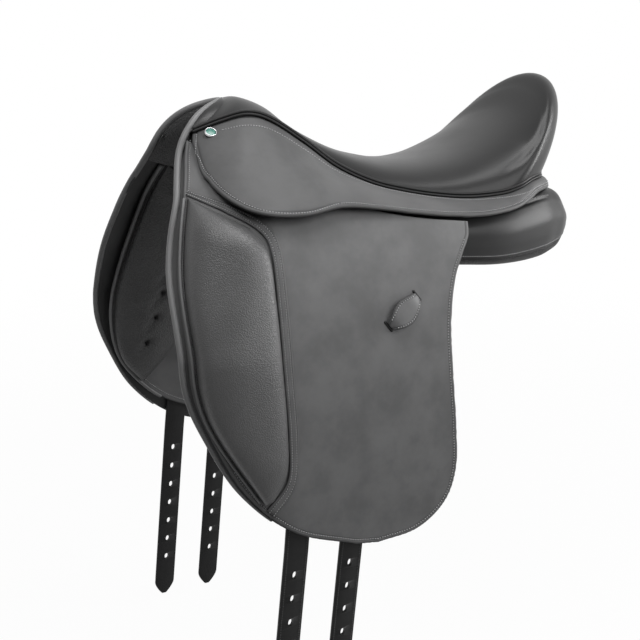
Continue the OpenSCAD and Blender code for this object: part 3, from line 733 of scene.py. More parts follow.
def folded(grid):
    # the fold that runs from the rim of the cantle down to the seam
    line = sampled(creaseLine, 0, 1, 160)
    near = np.array([seatGrid(np.array([t / lastStation]), np.array([wide]))[0, 0] for t, wide in line])
    index, far = nearest(grid, np.concatenate([near, mirrored(near)]))
    along = index % len(line) / (len(line) - 1)
    fade = eased(along / 0.3) * (1 - eased((along - 0.5) / 0.4))
    return grid - gridNormals(grid) * (seat["crease"] * fade * bell(far, seat["creaseWidth"]))[..., None]


def makeSeat():
    ss = 1 - 2 * endSteps(seat["columns"], seat["endShare"])
    grid = folded(seatGrid(np.linspace(0, 1, seat["rows"]), ss))
    # the leather runs on over the pommel to the rolled rim
    us = np.linspace(0, 1, seat["frontRows"] + 1)[:-1]
    front = loft(across(rimLine, ss * seat["rimShare"]), grid[0], us)
    swell = seat["frontSwell"] * np.sin(np.pi * us) ** 0.8
    front = front + np.array([0, -0.8, 0.6]) * swell[:, None, None]
    shell = leatherShell(np.concatenate([front, grid]), seat["thickness"], ("front", "rear"),
                         edgeShare=seat["edgeShare"])
    piece = makePiece("", "seat", "seatLeather", *shell)
    settle(piece, "saddle", "seat_leather", "seat_cover", "pommel_front", fill=0.9)


def makeFoam():
    ts, ss = np.linspace(0, 1, foam["rows"]), np.linspace(1, -1, foam["columns"])
    grid = folded(seatGrid(ts, ss))
    station = ts * lastStation
    swell = foam["swell"] * eased((station - 1.5) / 4) * (1 - 0.95 * eased((station - 8) / 3))
    depth = foam["edge"] + swell[:, None] * np.cos(ss * np.pi / 2)[None]
    normal = gridNormals(grid)
    over = grid - normal * foam["under"]
    piece = makePiece("", "seatFoam", "foamGrain", *closedPair(over, over - normal * depth[..., None]))
    settle(piece, "saddle", "seat_foam", "seat_foam", fill=0.95)


makeSeat()
makeFoam()
print("seat made")


# piping between seat and skirts: two cords, one above the other

piping = {"radius": 1.64, "out": 1.1, "lift": 0.5, "apart": 3.0, "upperIn": 0.6}


def weltNormal(ts):
    d = curveAt(weltLine, ts + 0.004) - curveAt(weltLine, ts - 0.004)
    return unit(np.stack([d[:, 1], -d[:, 0], 0 * d[:, 0]], -1))


def makePiping():
    ts = np.linspace(0.004, 1, 260)
    lower = curveAt(weltLine, ts) + weltNormal(ts) * piping["out"] + np.array([0, 0, piping["lift"]])
    upper = lower + np.array([0, 0, piping["apart"]]) - weltNormal(ts) * piping["upperIn"]
    cords = [tube(np.concatenate([cord, mirrored(cord)[::-1]]), piping["radius"]) for cord in (lower, upper)]
    settle(makePiece("", "seatPiping", "pipingLeather", *joined(cords)), "saddle", "piping", "seat_piping")


makePiping()


# skirts: a front lobe that lifts and a band that runs back round the cantle

skirt = {"thickness": 3.5, "seamInset": 5.0, "upperInset": 11.0, "seamLift": 0.1, "tuck": -0.03,
         "edgeBead": (2.2, -0.25, 1.4), "under": 1.2, "bend": 7, "corner": (1, -1.5, -2.5),
         "bandCrown": (3, 0, 3), "frontIn": (-22, 1.5, -7), "frontOver": 1.6, "stationLength": 30}
skirtEdge = [(58, -226.3, 133.5), (93.4, -227.3, 109), (129, -217.5, 93), (154, -195, 83), (158, -153, 78.5),
             (152, -113, 84), (150, -75, 80.5), (150, -30, 73), (149, 15, 67), (144, 60, 64), (134, 101, 66),
             (122, 127, 71), (110, 147, 77), (94, 171.5, 79), (69, 191.5, 78), (38, 206.5, 76),
             (0.6, 211.8, 75)]
bendFront, bendRear = np.array([74, -228, 147.0]), np.array([150, -112, 88.0])
lobeTip, lobeEnd = np.array([150, -195, 83.0]), 5


def skirtFace(i, u):
    # from the seat's seam over the bend to the edge, at stations along the seam
    i, u = np.atleast_1d(np.asarray(i, float)), np.asarray(u, float)
    seam, edge = curveAt(weltLine, i / lastStation), curveAt(skirtEdge, i / lastStation)
    edge = edge + np.array(skirt["corner"]) * (4 * ramp(i) * (1 - ramp(i)))[:, None]
    along = ramp(i / lobeEnd)[:, None]
    past = eased((i - lobeEnd + 1.7) / 2.6)[:, None]
    middle = (seam + edge) / 2 + np.array(skirt["bandCrown"])
    h = (bendFront * (1 - along) + bendRear * along) * (1 - past) + middle * past
    h = h + np.array(skirt["frontIn"]) * ramp(1 - i / skirt["frontOver"])[:, None] ** 1.5
    w = seam - np.array([0, 0, skirt["under"]])
    u = u[..., None] if u.ndim == 2 else u[None, :, None]
    return w[:, None] * (1 - u) * (1 - 2 * u) + h[:, None] * 4 * u * (1 - u) + edge[:, None] * u * (2 * u - 1)


def skirtBlend(side, piece):
    bend(piece)


def skirtSeam(first, last, inset, fromTop=False):
    face = skirtFace(np.linspace(first, last, 240), np.linspace(0.02, 1, 120))
    run = runs(face)
    want = inset if fromTop else run[:, -1] - inset
    # the stations are rows here, so the normal points in
    return pointsAt(face - gridNormals(face) * skirt["seamLift"], run, want)


def makeSkirt(side):
    stations = np.concatenate([rimSteps / skirt["stationLength"], np.linspace(0.5, lastStation, 230)])
    coarse = np.linspace(skirt["tuck"], 1, 40)
    run = np.pad(runs(skirtFace(stations, coarse)), ((0, 0), (1, 0)))
    us = np.array([np.interp(edgeSteps(0, r[-1], 26), r, coarse) for r in run])
    grid = skirtFace(stations, us).transpose(1, 0, 2)  # rows down, columns back
    shell = leatherShell(grid, skirt["thickness"], ("bottom", "front"),
                         [(skirt["seamInset"], 0.35, 1.0), skirt["edgeBead"]])
    piece = makePiece(side, "Skirt", "skirtLeather", *shell)
    skirtBlend(side, piece)
    dress(piece, "smooth_leather", side + "_skirt", side + "_skirt_band")

    # the seam comes down the front edge and turns along the lower one
    face = skirtFace(np.linspace(0, 1.2, 90), np.linspace(0.12, 0.9, 70)).transpose(1, 0, 2)
    run = runs(face)
    front = pointsAt(face + gridNormals(face) * skirt["seamLift"], run, skirt["seamInset"])
    low = skirtSeam(0.3, lobeEnd - 0.15, skirt["seamInset"])
    low = low[np.linalg.norm(low - front[-1], axis=1).argmin():]
    stitch(side, side + "_skirt", np.concatenate([front[run[:, -1] > skirt["seamInset"]], low[2:]]))
    stitch(side, "saddle", skirtSeam(lobeEnd - 0.05, lastStation - 0.2, skirt["seamInset"]))
    stitch(side, "saddle", skirtSeam(0.95, lastStation - 0.2, skirt["upperInset"], True))


bothSides(makeSkirt)
print("skirts made")


# nail buttons

nail = {"station": 0.55, "down": 0.165, "radius": 6.3, "face": (0.74, 0.33, 0.59)}


def skirtSpot(station, down):
    return skirtFace([station], [down])[0, 0]


def makeNails():
    at, down, r = nail["station"], nail["down"], nail["radius"]
    along = skirtSpot(at + 0.1, down) - skirtSpot(at - 0.1, down)
    fall = skirtSpot(at, down + 0.01) - skirtSpot(at, down - 0.01)
    z = unit(unit(np.cross(fall, along)) + np.array(nail["face"]))
    x = unit(along - z * (along @ z))
    basis = np.stack([x, np.cross(z, x), z])
    rim = [(0.2, 0.3), (r - 0.3, 0.3), (r, 0.8), (r - 0.05, 1.5), (r - 0.35, 2.2), (r - 0.65, 2.75),
           (r - 0.95, 2.9), (r - 1.2, 2.7), (r - 1.35, 2.3), (r - 1.4, 1.9), (0.2, 1.9)]
    dome = [(0.05, 1.95)]
    dome += [((r - 1.45) * math.cos(k), 2.0 + 0.75 * math.sin(k)) for k in np.linspace(0, 1.5, 8)]
    for name, profile, material, slot, node in (
            ("nailRims", rim, "polishedRim", "nail_rim", "nail_rims"),
            ("nailFaces", dome, "greenEnamel", "nail_face", "nail_faces")):
        points, faces = lathe(profile)
        near = skirtSpot(at, down) + points @ basis
        both = joined([(near, faces), (mirrored(near), turned(faces))])
        settle(makePiece("", name, material, *both), "saddle", slot, node)


makeNails()


# flaps: one sheet from the head under the skirt to the hem

flap = {"thickness": 4.5, "seamInset": 4.2, "edgeBead": (1.9, -0.15, 1.2), "headRows": 15, "bendAbove": 5,
        "bendBelow": 9}
flapHead = {"deep": 16, "from": 9.5, "over": 14, "front": -218, "frontOver": 25, "rear": -85, "rearOver": 30}
flapFront = [(-247, 97), (-259.5, 62), (-270.5, 20), (-274, -30), (-273, -76), (-259, -119), (-231, -173),
             (-185, -217), (-120, -242)]
flapRear = [(28, 47), (6, 8), (-4, -35), (-5, -85), (-3, -140), (-4, -185), (-18, -218), (-50, -240),
            (-95, -245.5)]
headTop = [(-229, 143), (-206, 126), (-162, 109), (-112, 90), (-66, 75), (-20, 66), (30, 60)]
hingeFront, hingeRear = np.array([-254, 97.0]), np.array([23, 44.0])
flapAxis, flapPivot = np.array([11.8, 136, -26.2]), np.array([146.7, -113, 70.2])
flapVs = np.concatenate([np.linspace(0, 0.75, 90), np.linspace(0.755, 0.97, 46), np.linspace(0.972, 1, 16)])


def recess(y, z):
    # the head lies deeper under the skirt
    slope = (hingeRear[1] - hingeFront[1]) / (hingeRear[0] - hingeFront[0])
    above = z - hingeFront[1] - (y - hingeFront[0]) * slope
    return (flapHead["deep"] * eased((above - flapHead["from"]) / flapHead["over"])
            * eased((y - flapHead["front"]) / flapHead["frontOver"])
            * eased((flapHead["rear"] - y) / flapHead["rearOver"]))


def flapSheet(front, middle, off=0.0):
    # the whole sheet: rows from the head under the skirt down to the hem
    low = sheetGrid(front, flapRear, flapVs, middle)
    us = np.linalg.norm(low[0] - low[0, 0], axis=-1)
    top = curveAt(headTop, us / us[-1])
    head = loft(top, low[0], np.linspace(0, 1, flap["headRows"] + 1)[:-1])
    yz = np.concatenate([head, low])
    grid = onSide(yz, off)
    grid[..., 0] -= recess(yz[..., 0], yz[..., 1])
    return grid


def flapBlend(side, piece):
    axis, down = unit(flapAxis), np.array([0.25, 0, -1.0])
    down = unit(down - axis * (down @ axis))
    bend(piece)


def makeFlap(side):
    grid = flapSheet(flapFront, 40)
    shell = leatherShell(grid, flap["thickness"], lowRound,
                         [(flap["seamInset"], 0.35, 0.9), flap["edgeBead"]])
    piece = makePiece(side, "Flap", "smoothLeather", *shell)
    flapBlend(side, piece)
    dress(piece, "smooth_leather", side + "_flap", side + "_flap_head")
    hem = np.concatenate([sampled(flapRear, 0.02, 1, 260), sampled(flapFront, 1, 0.7, 120)[1:]])
    stitch(side, side + "_flap", onSide(insetLine(evenly(hem, 2.0), -flap["seamInset"])))
    frontTop = grid[1:flap["headRows"] + 1, 0, 1:] + np.array([5.0, 1.5])
    stitch(side, "saddle", onSide(frontTop, 0.1), kind="fine")


bothSides(makeFlap)
print("flaps made")


# flap linings with a rolled front edge

lining = {"thickness": 2.5, "outer": -4.8, "reach": 0.015, "rollEnd": 0.83, "rollLift": 0.2,
          "rollAt": (0, 0.2, 0.6, 1), "rollRadii": (3.3, 3.2, 3.0, 1.5), "joinPoints": 60}


def makeLining(side):
    front = np.array(flapFront) - (np.array(flapRear) - np.array(flapFront)) * lining["reach"]
    grid = flapSheet(front, 30, lining["outer"])
    piece = makePiece(side, "FlapLining", "liningLeather", *leatherShell(grid, lining["thickness"], lowRound))
    flapBlend(side, piece)
    dress(piece, "lining_leather", side + "_flap_lining")
    # the rolled edge takes over from the roll of the pommel
    middle = lining["outer"] - lining["thickness"] / 2 + lining["rollLift"]
    line = onSide(sampled(front, 0, lining["rollEnd"], 300), middle)
    start = np.array(rimLine[-3:]) + rollShift
    away = 1 - eased(np.linspace(0, 1, lining["joinPoints"]))[:, None]
    line[:lining["joinPoints"]] += (start[-1] - line[0]) * away
    path = evenly(np.concatenate([sampled(start, 0, 0.98, 20), line]), 2.5)
    radii = np.interp(np.linspace(0, 1, len(path)), lining["rollAt"], lining["rollRadii"])
    roll = makePiece(side, "FlapRoll", "rolledLeather", *tube(path, radii, 14))
    flapBlend(side, roll)
    dress(roll, "lining_leather")


bothSides(makeLining)


# knee blocks in their stitched pockets

knee = {"height": 30.0, "crest": 0.58, "edge": 3.0, "lay": 0.8, "sink": 0.3, "rows": 110, "columns": 60,
        "weltOut": 2.6, "weltLift": 1.1, "weltRadius": 1.5, "seamOut": 0.6, "seamLift": 2.2}
border = {"thickness": 2.4, "lift": 2.5, "groove": 2.6, "seams": (0.27, 0.73), "seamLift": 2.45,
          "edgeShare": 0.8}
kneeFront = [(-245, 92), (-256, 60), (-266, 15), (-268.5, -35), (-266.5, -80), (-252, -120), (-214.5, -183)]
kneeRear = [(-205, 69), (-193, 46), (-192, 5), (-192, -50), (-191, -110), (-193, -152), (-207, -180)]
borderIn = [(-246, 95), (-219, 81), (-197, 66), (-189.5, 47), (-190, -2), (-190, -67), (-189, -126),
            (-192, -163), (-213, -189)]
borderOut = [(-243, 99), (-214, 88), (-190, 73), (-180, 50), (-180, -2), (-180, -67), (-179, -128),
             (-184, -169), (-204, -197)]


def kneeRise(u, v):
    ends = (1 - rounding(v, 0.17)) * (1 - rounding(1 - v, 0.22))
    return ramp(4 * u * (1 - u)) ** 0.5 * ends * (0.65 + 0.35 * (1 - v))


def makeKnee(side):
    body = side + "_flap"
    us, vs = endSteps(knee["columns"]), endSteps(knee["rows"], 0.6)
    yz = loft(curveAt(kneeFront, vs), curveAt(kneeRear, vs), us).transpose(1, 0, 2)
    over = onSide(yz, knee["lay"] + knee["edge"])
    over[..., 0] += (knee["height"] - knee["edge"]) * kneeRise(us[None] ** knee["crest"], vs[:, None])
    shape = closedPair(over, onSide(yz, knee["lay"] - knee["sink"]))
    piece = makePiece(side, "KneeBlock", "blockLeather", *shape)
    settle(piece, body, "grain_leather", side + "_knee_block", fill=0.95)
    # welt along the front foot of the block, with its seam
    foot = evenly(sampled(kneeFront, 0.01, 0.99, 200), 2.0)
    welt = tube(onSide(insetLine(foot, -knee["weltOut"]), knee["weltLift"]), knee["weltRadius"], 10)
    settle(makePiece(side, "KneeWelt", "rolledLeather", *welt), body, "smooth_leather")
    stitch(side, body, onSide(insetLine(foot, -knee["seamOut"]), knee["seamLift"]), "darkThread", "fine")


def makeBorder(side):
    body = side + "_flap"
    inner, outer = sampled(borderIn, 0, 1, 180), sampled(borderOut, 0, 1, 180)
    grid = onSide(loft(outer, inner, edgeSteps(0, 10, 6) / 10), border["lift"])
    shell = leatherShell(grid, border["thickness"], allRound, [(border["groove"], 0.3, 0.7)],
                         edgeShare=border["edgeShare"])
    piece = makePiece(side, "KneeBorder", "smoothLeather", *shell)
    settle(piece, body, "smooth_leather", side + "_knee_border")
    for share in border["seams"]:
        seam = evenly(inner + (outer - inner) * share, 2.0)
        stitch(side, body, onSide(seam, border["seamLift"]), kind="fine")


bothSides(makeKnee, makeBorder)
print("knee blocks made")


# stirrup keepers: a bowed loop whose ends pass through slits in the flap; black tubes at its ends are painted
# shade in the slits

keeper = {"middle": (-59, -18), "turn": 37.0, "bow": 5.0, "length": 42.0, "width": 25.0, "thickness": 2.5,
          "lay": 0.3, "waist": 0.62, "seamInset": 2.4, "seamLift": 0.05,
          "slitHalf": 5.2, "slitRadius": 1.5, "slitPast": 0.6, "slitLift": 0.2}


def makeKeeper(side):
    body = side + "_flap"
    turn = math.radians(keeper["turn"])
    d, e = np.array([math.cos(turn), math.sin(turn)]), np.array([-math.sin(turn), math.cos(turn)])
    alongs = np.linspace(-1, 1, 60)
    middle = np.array(keeper["middle"]) + keeper["length"] / 2 * alongs[:, None] * d
    half = keeper["width"] / 2 * (1 - keeper["waist"] * np.abs(alongs) ** 1.6)
    lift = keeper["lay"] + keeper["bow"] * (1 - alongs**4) + keeper["thickness"]
    acrosses = edgeSteps(-1, 1, 6)[::-1, None, None]
    grid = onSide(middle[None] + half[None, :, None] * acrosses * e, lift[None])
    shell = leatherShell(grid, keeper["thickness"], ("top", "bottom"), [(keeper["seamInset"], 0.25, 0.7)])
    settle(makePiece(side, "Keeper", "smoothLeather", *shell), body, "smooth_leather", side + "_keeper")
    slits = []
    for sign in (-1, 1):
        line = onSide(middle + sign * (half - keeper["seamInset"])[:, None] * e, lift + keeper["seamLift"])
        stitch(side, body, line[7:-7], kind="fine")
        end = np.array(keeper["middle"]) + sign * (keeper["length"] / 2 + keeper["slitPast"]) * d
        # painted shade: a black tube of piping leather stands for the dark inside each slit
        slit = end + np.linspace(-1, 1, 14)[:, None] * keeper["slitHalf"] * e
        slits.append(tube(onSide(slit, keeper["slitLift"]), keeper["slitRadius"], 10))
    settle(makePiece(side, "KeeperSlitShades", "pipingLeather", *joined(slits)), body, "smooth_leather")


bothSides(makeKeeper)


# sweat flaps and the shoulder pads inside them

sweat = {"thickness": 3.0, "outer": -13.7, "bead": 2.3, "seamInset": 8.0, "seamLift": 0.05}
sweatFront = [(-216, 108), (-229, 75), (-244, 25), (-255, -22), (-262, -75), (-254, -124), (-229, -163),
              (-190, -197), (-130, -222)]
sweatRear = [(10, 44), (-4, 18), (-12, -15), (-16, -60), (-16, -110), (-16, -155), (-30, -192), (-60, -217),
             (-105, -226)]


def makeSweatFlap(side):
    vs = np.concatenate([np.linspace(0, 0.75, 90), np.linspace(0.756, 1, 50)])
    grid = onSide(sheetGrid(sweatFront, sweatRear, vs, 36), sweat["outer"])
    shell = leatherShell(grid, sweat["thickness"], lowRound, innerGrooves=[(sweat["seamInset"], 0.3, 0.9)])
    piece = makePiece(side, "SweatFlap", "smoothLeather", *shell)
    settle(piece, "saddle", "lining_leather", side + "_sweat_flap")
    line = evenly(sampled(sweatFront, 0.01, 0.85, 200), 2.5)
    bead = tube(onSide(line, sweat["outer"] - sweat["thickness"] / 2), sweat["bead"])
    settle(makePiece(side, "SweatBead", "rolledLeather", *bead), "saddle", "piping")
    seam = evenly(insetLine(sampled(sweatFront, 0.01, 0.95, 220), sweat["seamInset"] - 2), 2.0)
    stitch(side, "saddle", onSide(seam, sweat["outer"] - sweat["thickness"] - sweat["seamLift"]))


pad = {"depth": 24.0, "edge": 3.0, "least": 1.0, "outer": -17.5, "rows": 150, "columns": 90, "tuftDepth": 6.5,
       "tuftWidth": 5.5, "pitWidth": 1.9, "pleatWidth": 4.5, "pleatLength": 12, "pleatAt": 8,
       "pipingIn": 1.6, "pipingRadius": 1.3}
padFront = [(-209, 106), (-226, 65), (-241, 15), (-254, -40), (-258, -92), (-249, -133), (-226, -163)]
padRear = [(-152, 75), (-147, 40), (-146, 0), (-152, -45), (-167, -92), (-190, -133), (-221, -164)]
tufts = [(-194, -26), (-201, -51), (-210, -81), (-222, -112)]


def tuftDimple(yz):
    dimple = np.zeros(yz.shape[:2])
    for y, z in tufts:
        a, b = yz[..., 0] - y, yz[..., 1] - z
        far = np.hypot(a, b)
        pit = 0.6 * bell(far, pad["tuftWidth"]) + 0.6 * bell(far, pad["pitWidth"])
        # a pleat runs from each tuft towards the front
        run, aside = -0.75 * a - 0.66 * b, 0.66 * a - 0.75 * b
        pleat = 0.5 * bell(aside, pad["pleatWidth"]) * bell(run - pad["pleatAt"], pad["pleatLength"])
        dimple = np.maximum(dimple, pit + pleat)
    return dimple


def makePad(side):
    us, vs = endSteps(pad["columns"], 0.6), np.linspace(0, 1, pad["rows"])
    yz = loft(curveAt(padFront, vs), curveAt(padRear, vs), us).transpose(1, 0, 2)
    u, v = us[None], vs[:, None]
    rise = ramp(4 * u * (1 - u)) ** 0.5 * ramp((1 - v) / 0.2) ** 0.6 * (0.45 + 0.55 * ramp(v / 0.12) ** 0.5)
    depth = pad["edge"] + (pad["depth"] - pad["edge"]) * rise - pad["tuftDepth"] * tuftDimple(yz) * ramp(rise)
    back = onSide(yz, pad["outer"])
    shape = closedPair(back, onSide(yz, pad["outer"] - np.maximum(depth, pad["least"])))
    piece = makePiece(side, "ShoulderPad", "padLeather", *shape)
    settle(piece, "saddle", "grain_leather", side + "_shoulder_pad", fill=0.8)
    seams = [sampled(padFront, 0, 1, 200), sampled(padRear, 0.35, 1, 160)]
    cords = [tube(onSide(evenly(seam, 2.5), pad["outer"] - pad["pipingIn"]), pad["pipingRadius"], 10)
             for seam in seams]
    settle(makePiece(side, "PadPiping", "pipingLeather", *joined(cords)), "saddle", "piping")


bothSides(makeSweatFlap, makePad)
print("sweat flaps and pads made")


# panels: smooth gussets above a seam, pebbled leather below it

panel = {"rings": 130, "sides": 144, "channelHalf": 33.0, "seamAngle": -22.0, "topAngle": 43.0, "bulge": 6.0,
         "bulgeAngle": 8, "bulgeWidth": 26, "groove": 1.5, "grooveWidth": 3.0, "topEnd": 178,
         "frontEnd": -5.0, "rearEnd": 1.6, "seamEnd": 223.5, "topSeamEnd": 176, "seamLift": 0.2,
         "seamFrom": 12}
# along, inner side past the channel, outer side, top, underside, and its rise towards the channel
panelRows = [(-148, 22, 92, 79, 46, 4), (-140, 9, 108, 90, 32, 12), (-110, 4, 112, 91, 20, 16),
             (-60, 1, 116, 82.2, 10, 18), (0, 0, 121, 74.4, 4, 20), (50, 0, 126, 70.7, 0, 22),
             (90, 1, 124, 70.8, -4, 24), (130, 2, 114, 77, -6, 24), (165, 3, 102, 81, -5, 24),
             (187, 4, 91, 77.5, -1, 21), (201.5, 5, 83, 72, 4, 16), (212, 6, 74, 63.5, 10.5, 11),
             (218.7, 9, 66.5, 54.5, 18, 7), (222.5, 14, 59, 46, 25, 4)]


def squared(c):
    return np.sign(c) * np.abs(c) ** 0.6


def panelRings(vs, angles):
    rows = curveAt(panelRows, vs)
    c, s = squared(np.cos(angles))[None], squared(np.sin(angles))[None]
    s = np.where(s > 0, np.abs(s) ** 1.4, s)  # rounder shoulders above
    y, inner, outer, top, low, slope = [rows[:, k:k + 1] for k in range(6)]
    inner = inner + panel["channelHalf"]
    x = (inner + outer) / 2 + (outer - inner) / 2 * c
    z = (top + low) / 2 + (top - low) / 2 * s + ramp(-s) * slope * (outer - x) / (outer - inner)
    return np.stack([x, np.repeat(y, len(angles), 1), z], -1)


def makePanel(side):
    angles = np.linspace(0, 2 * np.pi, panel["sides"], endpoint=False)
    vs = np.linspace(0, 1, panel["rings"])
    rings = panelRings(vs, angles)
    turn = np.degrees(angles)
    turn = np.where(turn > 180, turn - 360, turn)
    low, high = panel["seamAngle"], panel["topAngle"]
    out = unit(rings - rings.mean(1, keepdims=True))
    swell = (bell(turn - panel["bulgeAngle"], panel["bulgeWidth"])[None]
             * eased(np.minimum(vs / 0.1, (1 - vs) / 0.14))[:, None])
    rings[..., 0] += panel["bulge"] * swell
    for seamAt, end in ((low, math.inf), (high, panel["topEnd"])):
        depth = panel["groove"] * eased((end - rings[:, :1, 1]) / 20)
        rings = rings - out * (depth * bell(turn - seamAt, panel["grooveWidth"])[None])[..., None]
    ends = []
    for first, reach in ((rings[0], panel["frontEnd"]), (rings[-1], panel["rearEnd"])):
        middle = first.mean(0)
        ends.append([middle + (first - middle) * math.sqrt(1 - k * k) + np.array([0, reach * k, 0])
                     for k in (0.3, 0.55, 0.75, 0.9, 0.98)])
    rings = np.concatenate([np.array(ends[0][::-1]), rings, np.array(ends[1])])
    points, faces = ringSolid(rings)
    # painted shade: the panel is darkened in the colour above its upper seam and below its lower seam
    dark = np.maximum(eased((turn - high + 8) / 8), 0.9 * eased((low - turn) / 4))
    grain = ((turn < low - 2) | (turn > 140)).astype(float)
    piece = makePiece(side, "Panel", "panelLeather", points, turned(faces),
                      {"edge": np.tile(dark, len(rings)), "grain": np.tile(grain, len(rings))})
    settle(piece, "saddle", "grain_leather", side + "_panel", fill=0.85)
    for angle, end in ((low + 3.5, panel["seamEnd"]), (180 - low, panel["seamEnd"]),
                       (high + 5, panel["topSeamEnd"])):
        k = int(round(angle % 360 / 360 * panel["sides"]))
        row = rings[panel["seamFrom"]:, k]
        stitch(side, "saddle", row[row[:, 1] < end] + out.mean(0)[k] * panel["seamLift"])


bothSides(makePanel)
print("panels made")


# pommel: rolled rim, the pebbled lining of the arch and the plate above it

pommel = {"roll": 3.4, "lining": 2.5, "share": 0.76, "turn": 0.24, "plate": 3.0, "plateGap": 0.6,
          "plateShare": 0.88, "plateFrom": 0.32, "plateTo": 0.94, "seamLift": 0.1, "seamColumns": (23, 97),
          "edgeShare": 0.5}
vaultA = [(0, -193, 163.5), (10, -199, 160.5), (21, -211, 151), (31, -222, 139.5), (40, -230, 127),
          (50, -236.5, 112)]
vaultB = [(0, -127.5, 142.1), (12, -128.5, 140.6), (25, -130, 134.5), (42, -132, 125.5),
          (58, -134, 112), (70, -136, 96)]


def makePommel():
    ks = np.linspace(-0.93, 0.93, 280)
    radii = pommel["roll"] * (1 - 0.25 * eased((np.abs(ks) - 0.8) / 0.13))
    roll = makePiece("", "pommelRoll", "rolledLeather", *tube(across(rimLine, ks) + rollShift, radii, 16))
    settle(roll, "saddle", "piping", "pommel_piping")

    ks, us = np.linspace(1, -1, 120), np.linspace(0, 1, 50)
    lip = across(rimLine, ks * pommel["share"]) + np.array([0, 1.5, -2.0])
    turn = (1 - eased(us / pommel["turn"]))[:, None, None]
    grid = loft(across(vaultA, ks), across(vaultB, ks), us) * (1 - turn) + lip[None] * turn
    shell = leatherShell(grid, pommel["lining"], allRound, edgeShare=pommel["edgeShare"])
    settle(makePiece("", "archLining", "padLeather", *shell), "saddle", "grain_leather", "pommel_lining")
    inner = grid - gridNormals(grid) * (pommel["lining"] + pommel["seamLift"])
    for k in pommel["seamColumns"]:
        stitch("near", "saddle", inner[15:-3, k], kind="fine")

    ks = np.linspace(pommel["plateShare"], -pommel["plateShare"], 80)
    us = np.linspace(pommel["plateFrom"], pommel["plateTo"], 24)
    sheet = loft(across(vaultA, ks), across(vaultB, ks), us)
    sheet = sheet + gridNormals(sheet) * (pommel["plate"] + pommel["plateGap"])
    plate = makePiece("", "gulletPlate", "brushedSteel", *leatherShell(sheet, pommel["plate"], allRound))
    settle(plate, "saddle", "plate_steel", "gullet_plate")


makePommel()
print("pommel made")


# tab over the seam of the skirt bands behind the cantle

cap = {"half": 9.0, "thickness": 2.0, "from": 0.12, "to": 1.1, "narrowing": 0.25, "lowLift": 4, "topLift": 3,
       "wrap": 0.02}


def makeCap():
    top, low = curveAt(weltLine, [1])[0], curveAt(skirtEdge, [1])[0]
    xs = np.linspace(cap["half"], -cap["half"], 30)[None]
    ks = np.linspace(cap["from"], cap["to"], 30)[:, None]
    y = top[1] + (low[1] - top[1]) * ks + cap["lowLift"] + cap["topLift"] * (1 - ks) - cap["wrap"] * xs**2
    x = xs * (1 - cap["narrowing"] * eased((ks - 0.7) / 0.4))
    grid = np.stack([x, y, top[2] + (low[2] - top[2]) * ks + 0 * xs], -1)
    shell = leatherShell(grid, cap["thickness"], allRound)
    settle(makePiece("", "bandCap", "smoothLeather", *shell), "saddle", "smooth_leather", "band_cap")


makeCap()


# girth straps with their oval holes, and the webs that carry them

strap = {"width": 25.0, "thickness": 4.0, "outer": -8.5, "lean": 0.1, "firstHole": -265.0, "pitch": 25.0,
         "holes": 7, "holeWidth": 5.0, "holeLength": 8.0, "punch": 14, "tip": 52.0, "point": 16,
         "pointHalf": 3.0, "head": 18.0, "headRound": 5, "headNarrowing": 4, "step": -28.0, "stepGap": 0.3,
         "edge": 0.9, "seamInset": 2.6, "seamLift": 0.05}
strapPivots = {"Front": -156.0, "Rear": -96.0}
strapMiddle, flapHem = -150.0, -240.0
strapHoles = holeTree()


def strapX(z):
    z = np.asarray(z, float)
    return sideX(np.full_like(z, strapMiddle), np.maximum(z, flapHem)) + strap["outer"]


def strapRings(z, low, pivotY):
    half = np.full(len(z), strap["width"] / 2)
    headPast = np.maximum(0, z - strap["head"] + strap["headRound"]) / strap["headRound"]
    half = half - strap["headNarrowing"] * headPast**2
    tipped = ramp((low + strap["point"] - z) / strap["point"])
    half = half - (strap["width"] / 2 - strap["pointHalf"]) * tipped**1.6
    # the head is half as thick, where it lies on the web
    inner = np.where(z > strap["step"] + 1, -(strap["thickness"] - strap["stepGap"]) / 2, -strap["thickness"])
    rings = []
    for x, height, h, t in zip(strapX(z), z, half, inner):
        q = min(strap["edge"], -t * 0.45)
        s = q * 0.3
        ring = [(0, -h + q), (-s, -h + s), (-q, -h), (t + q, -h), (t + s, -h + s), (t, -h + q)]
        ring += [(dx, -dy) for dx, dy in ring[::-1]]
        rings.append([(x + dx, pivotY + strap["lean"] * height + dy, height) for dx, dy in ring])
    return np.array(rings)


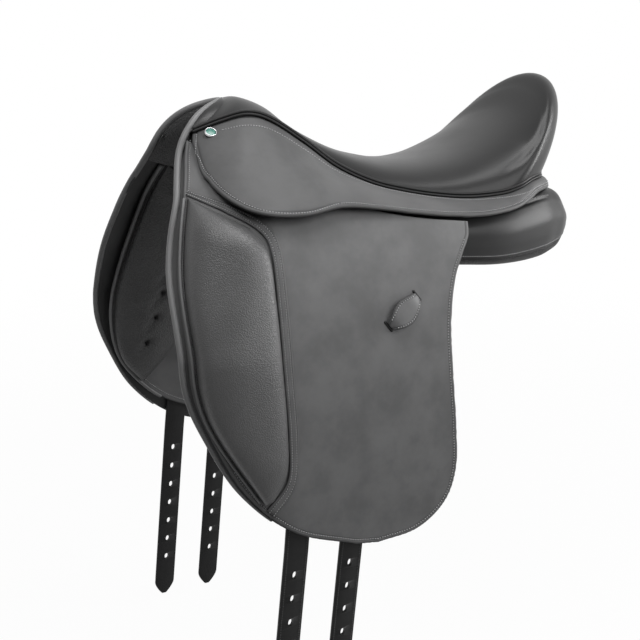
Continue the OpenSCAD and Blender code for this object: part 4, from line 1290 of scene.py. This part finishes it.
def makeStrap(side, which, pivotY):
    first = strap["firstHole"]
    low = first - (strap["holes"] - 1) * strap["pitch"] - strap["tip"]
    point = low + strap["point"]
    z = np.concatenate([np.linspace(strap["head"], strap["step"] + 1.5, 14),
                        np.linspace(strap["step"], point, 90),
                        point - strap["point"] * np.sin(np.linspace(0.1, 1, 12) * np.pi / 2)])
    points, faces = ringSolid(strapRings(z, low, pivotY))
    edge = np.tile([0.5, 1, 1, 1, 1, 0.5], 2 * len(z))
    piece = makePiece(side, which + "Strap", "strapLeather", points, turned(faces), {"edge": edge})
    x = (strapX([first])[0] - strap["thickness"] / 2) * (-1 if side == "off" else 1)
    evaluated(piece, strapHoles, {
        "Count": strap["holes"], "First": (x * mm, (pivotY + strap["lean"] * first) * mm, first * mm),
        "Step": (0, -strap["lean"] * strap["pitch"] * mm, -strap["pitch"] * mm),
        "Oval": (strap["holeLength"] / 2 * mm, strap["holeWidth"] / 2 * mm, strap["punch"] * mm),
        "Leather": materials["strapLeather"]})
    body = side + "_" + which.lower() + "_strap"
    settle(piece, body, "strap_leather", body)
    zs = np.linspace(strap["step"] - 4, low + 22, 150)
    for way in (-1, 1):
        y = pivotY + strap["lean"] * zs + way * (strap["width"] / 2 - strap["seamInset"])
        stitch(side, body, np.stack([strapX(zs) + strap["seamLift"], y, zs], -1), "darkThread", "fine")


def makeStraps(side):
    for which, pivotY in strapPivots.items():
        makeStrap(side, which, pivotY)


bothSides(makeStraps)
print("straps made")

web = {"top": 76.0, "low": -22.0, "outer": -10.85, "thickness": 1.85, "past": 13}


def makeWeb(side):
    zs, ks = np.linspace(web["top"], web["low"], 60)[:, None], np.linspace(0, 1, 40)[None]
    front, rear = strapPivots["Front"] - web["past"], strapPivots["Rear"] + web["past"]
    y = front + (rear - front) * ks + strap["lean"] * zs
    x = sideX(np.full_like(zs, strapMiddle), zs) + web["outer"]
    grid = np.stack([x + 0 * y, y, zs + 0 * y], -1)
    shell = leatherShell(grid, web["thickness"], allRound)
    settle(makePiece(side, "GirthWeb", "girthWeb", *shell), "saddle", "web", side + "_girth_web")


bothSides(makeWeb)

# CAD pieces whose shape stays, with their finishes
nodeFinish = {"saddle_tree": "treeFibre", "near_stirrup_bar": "brushedSteel",
              "off_stirrup_bar": "brushedSteel", "bar_rivets": "brushedSteel", "strap_rivets": "brushedSteel"}
for node, material in nodeFinish.items():
    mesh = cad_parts[node].data
    mesh.materials.clear()
    mesh.materials.append(materials[material])

makeStitches({"skirt": skirtBlend, "flap": flapBlend})  # seams on the skirts and flaps go to their blend functions instead of a body
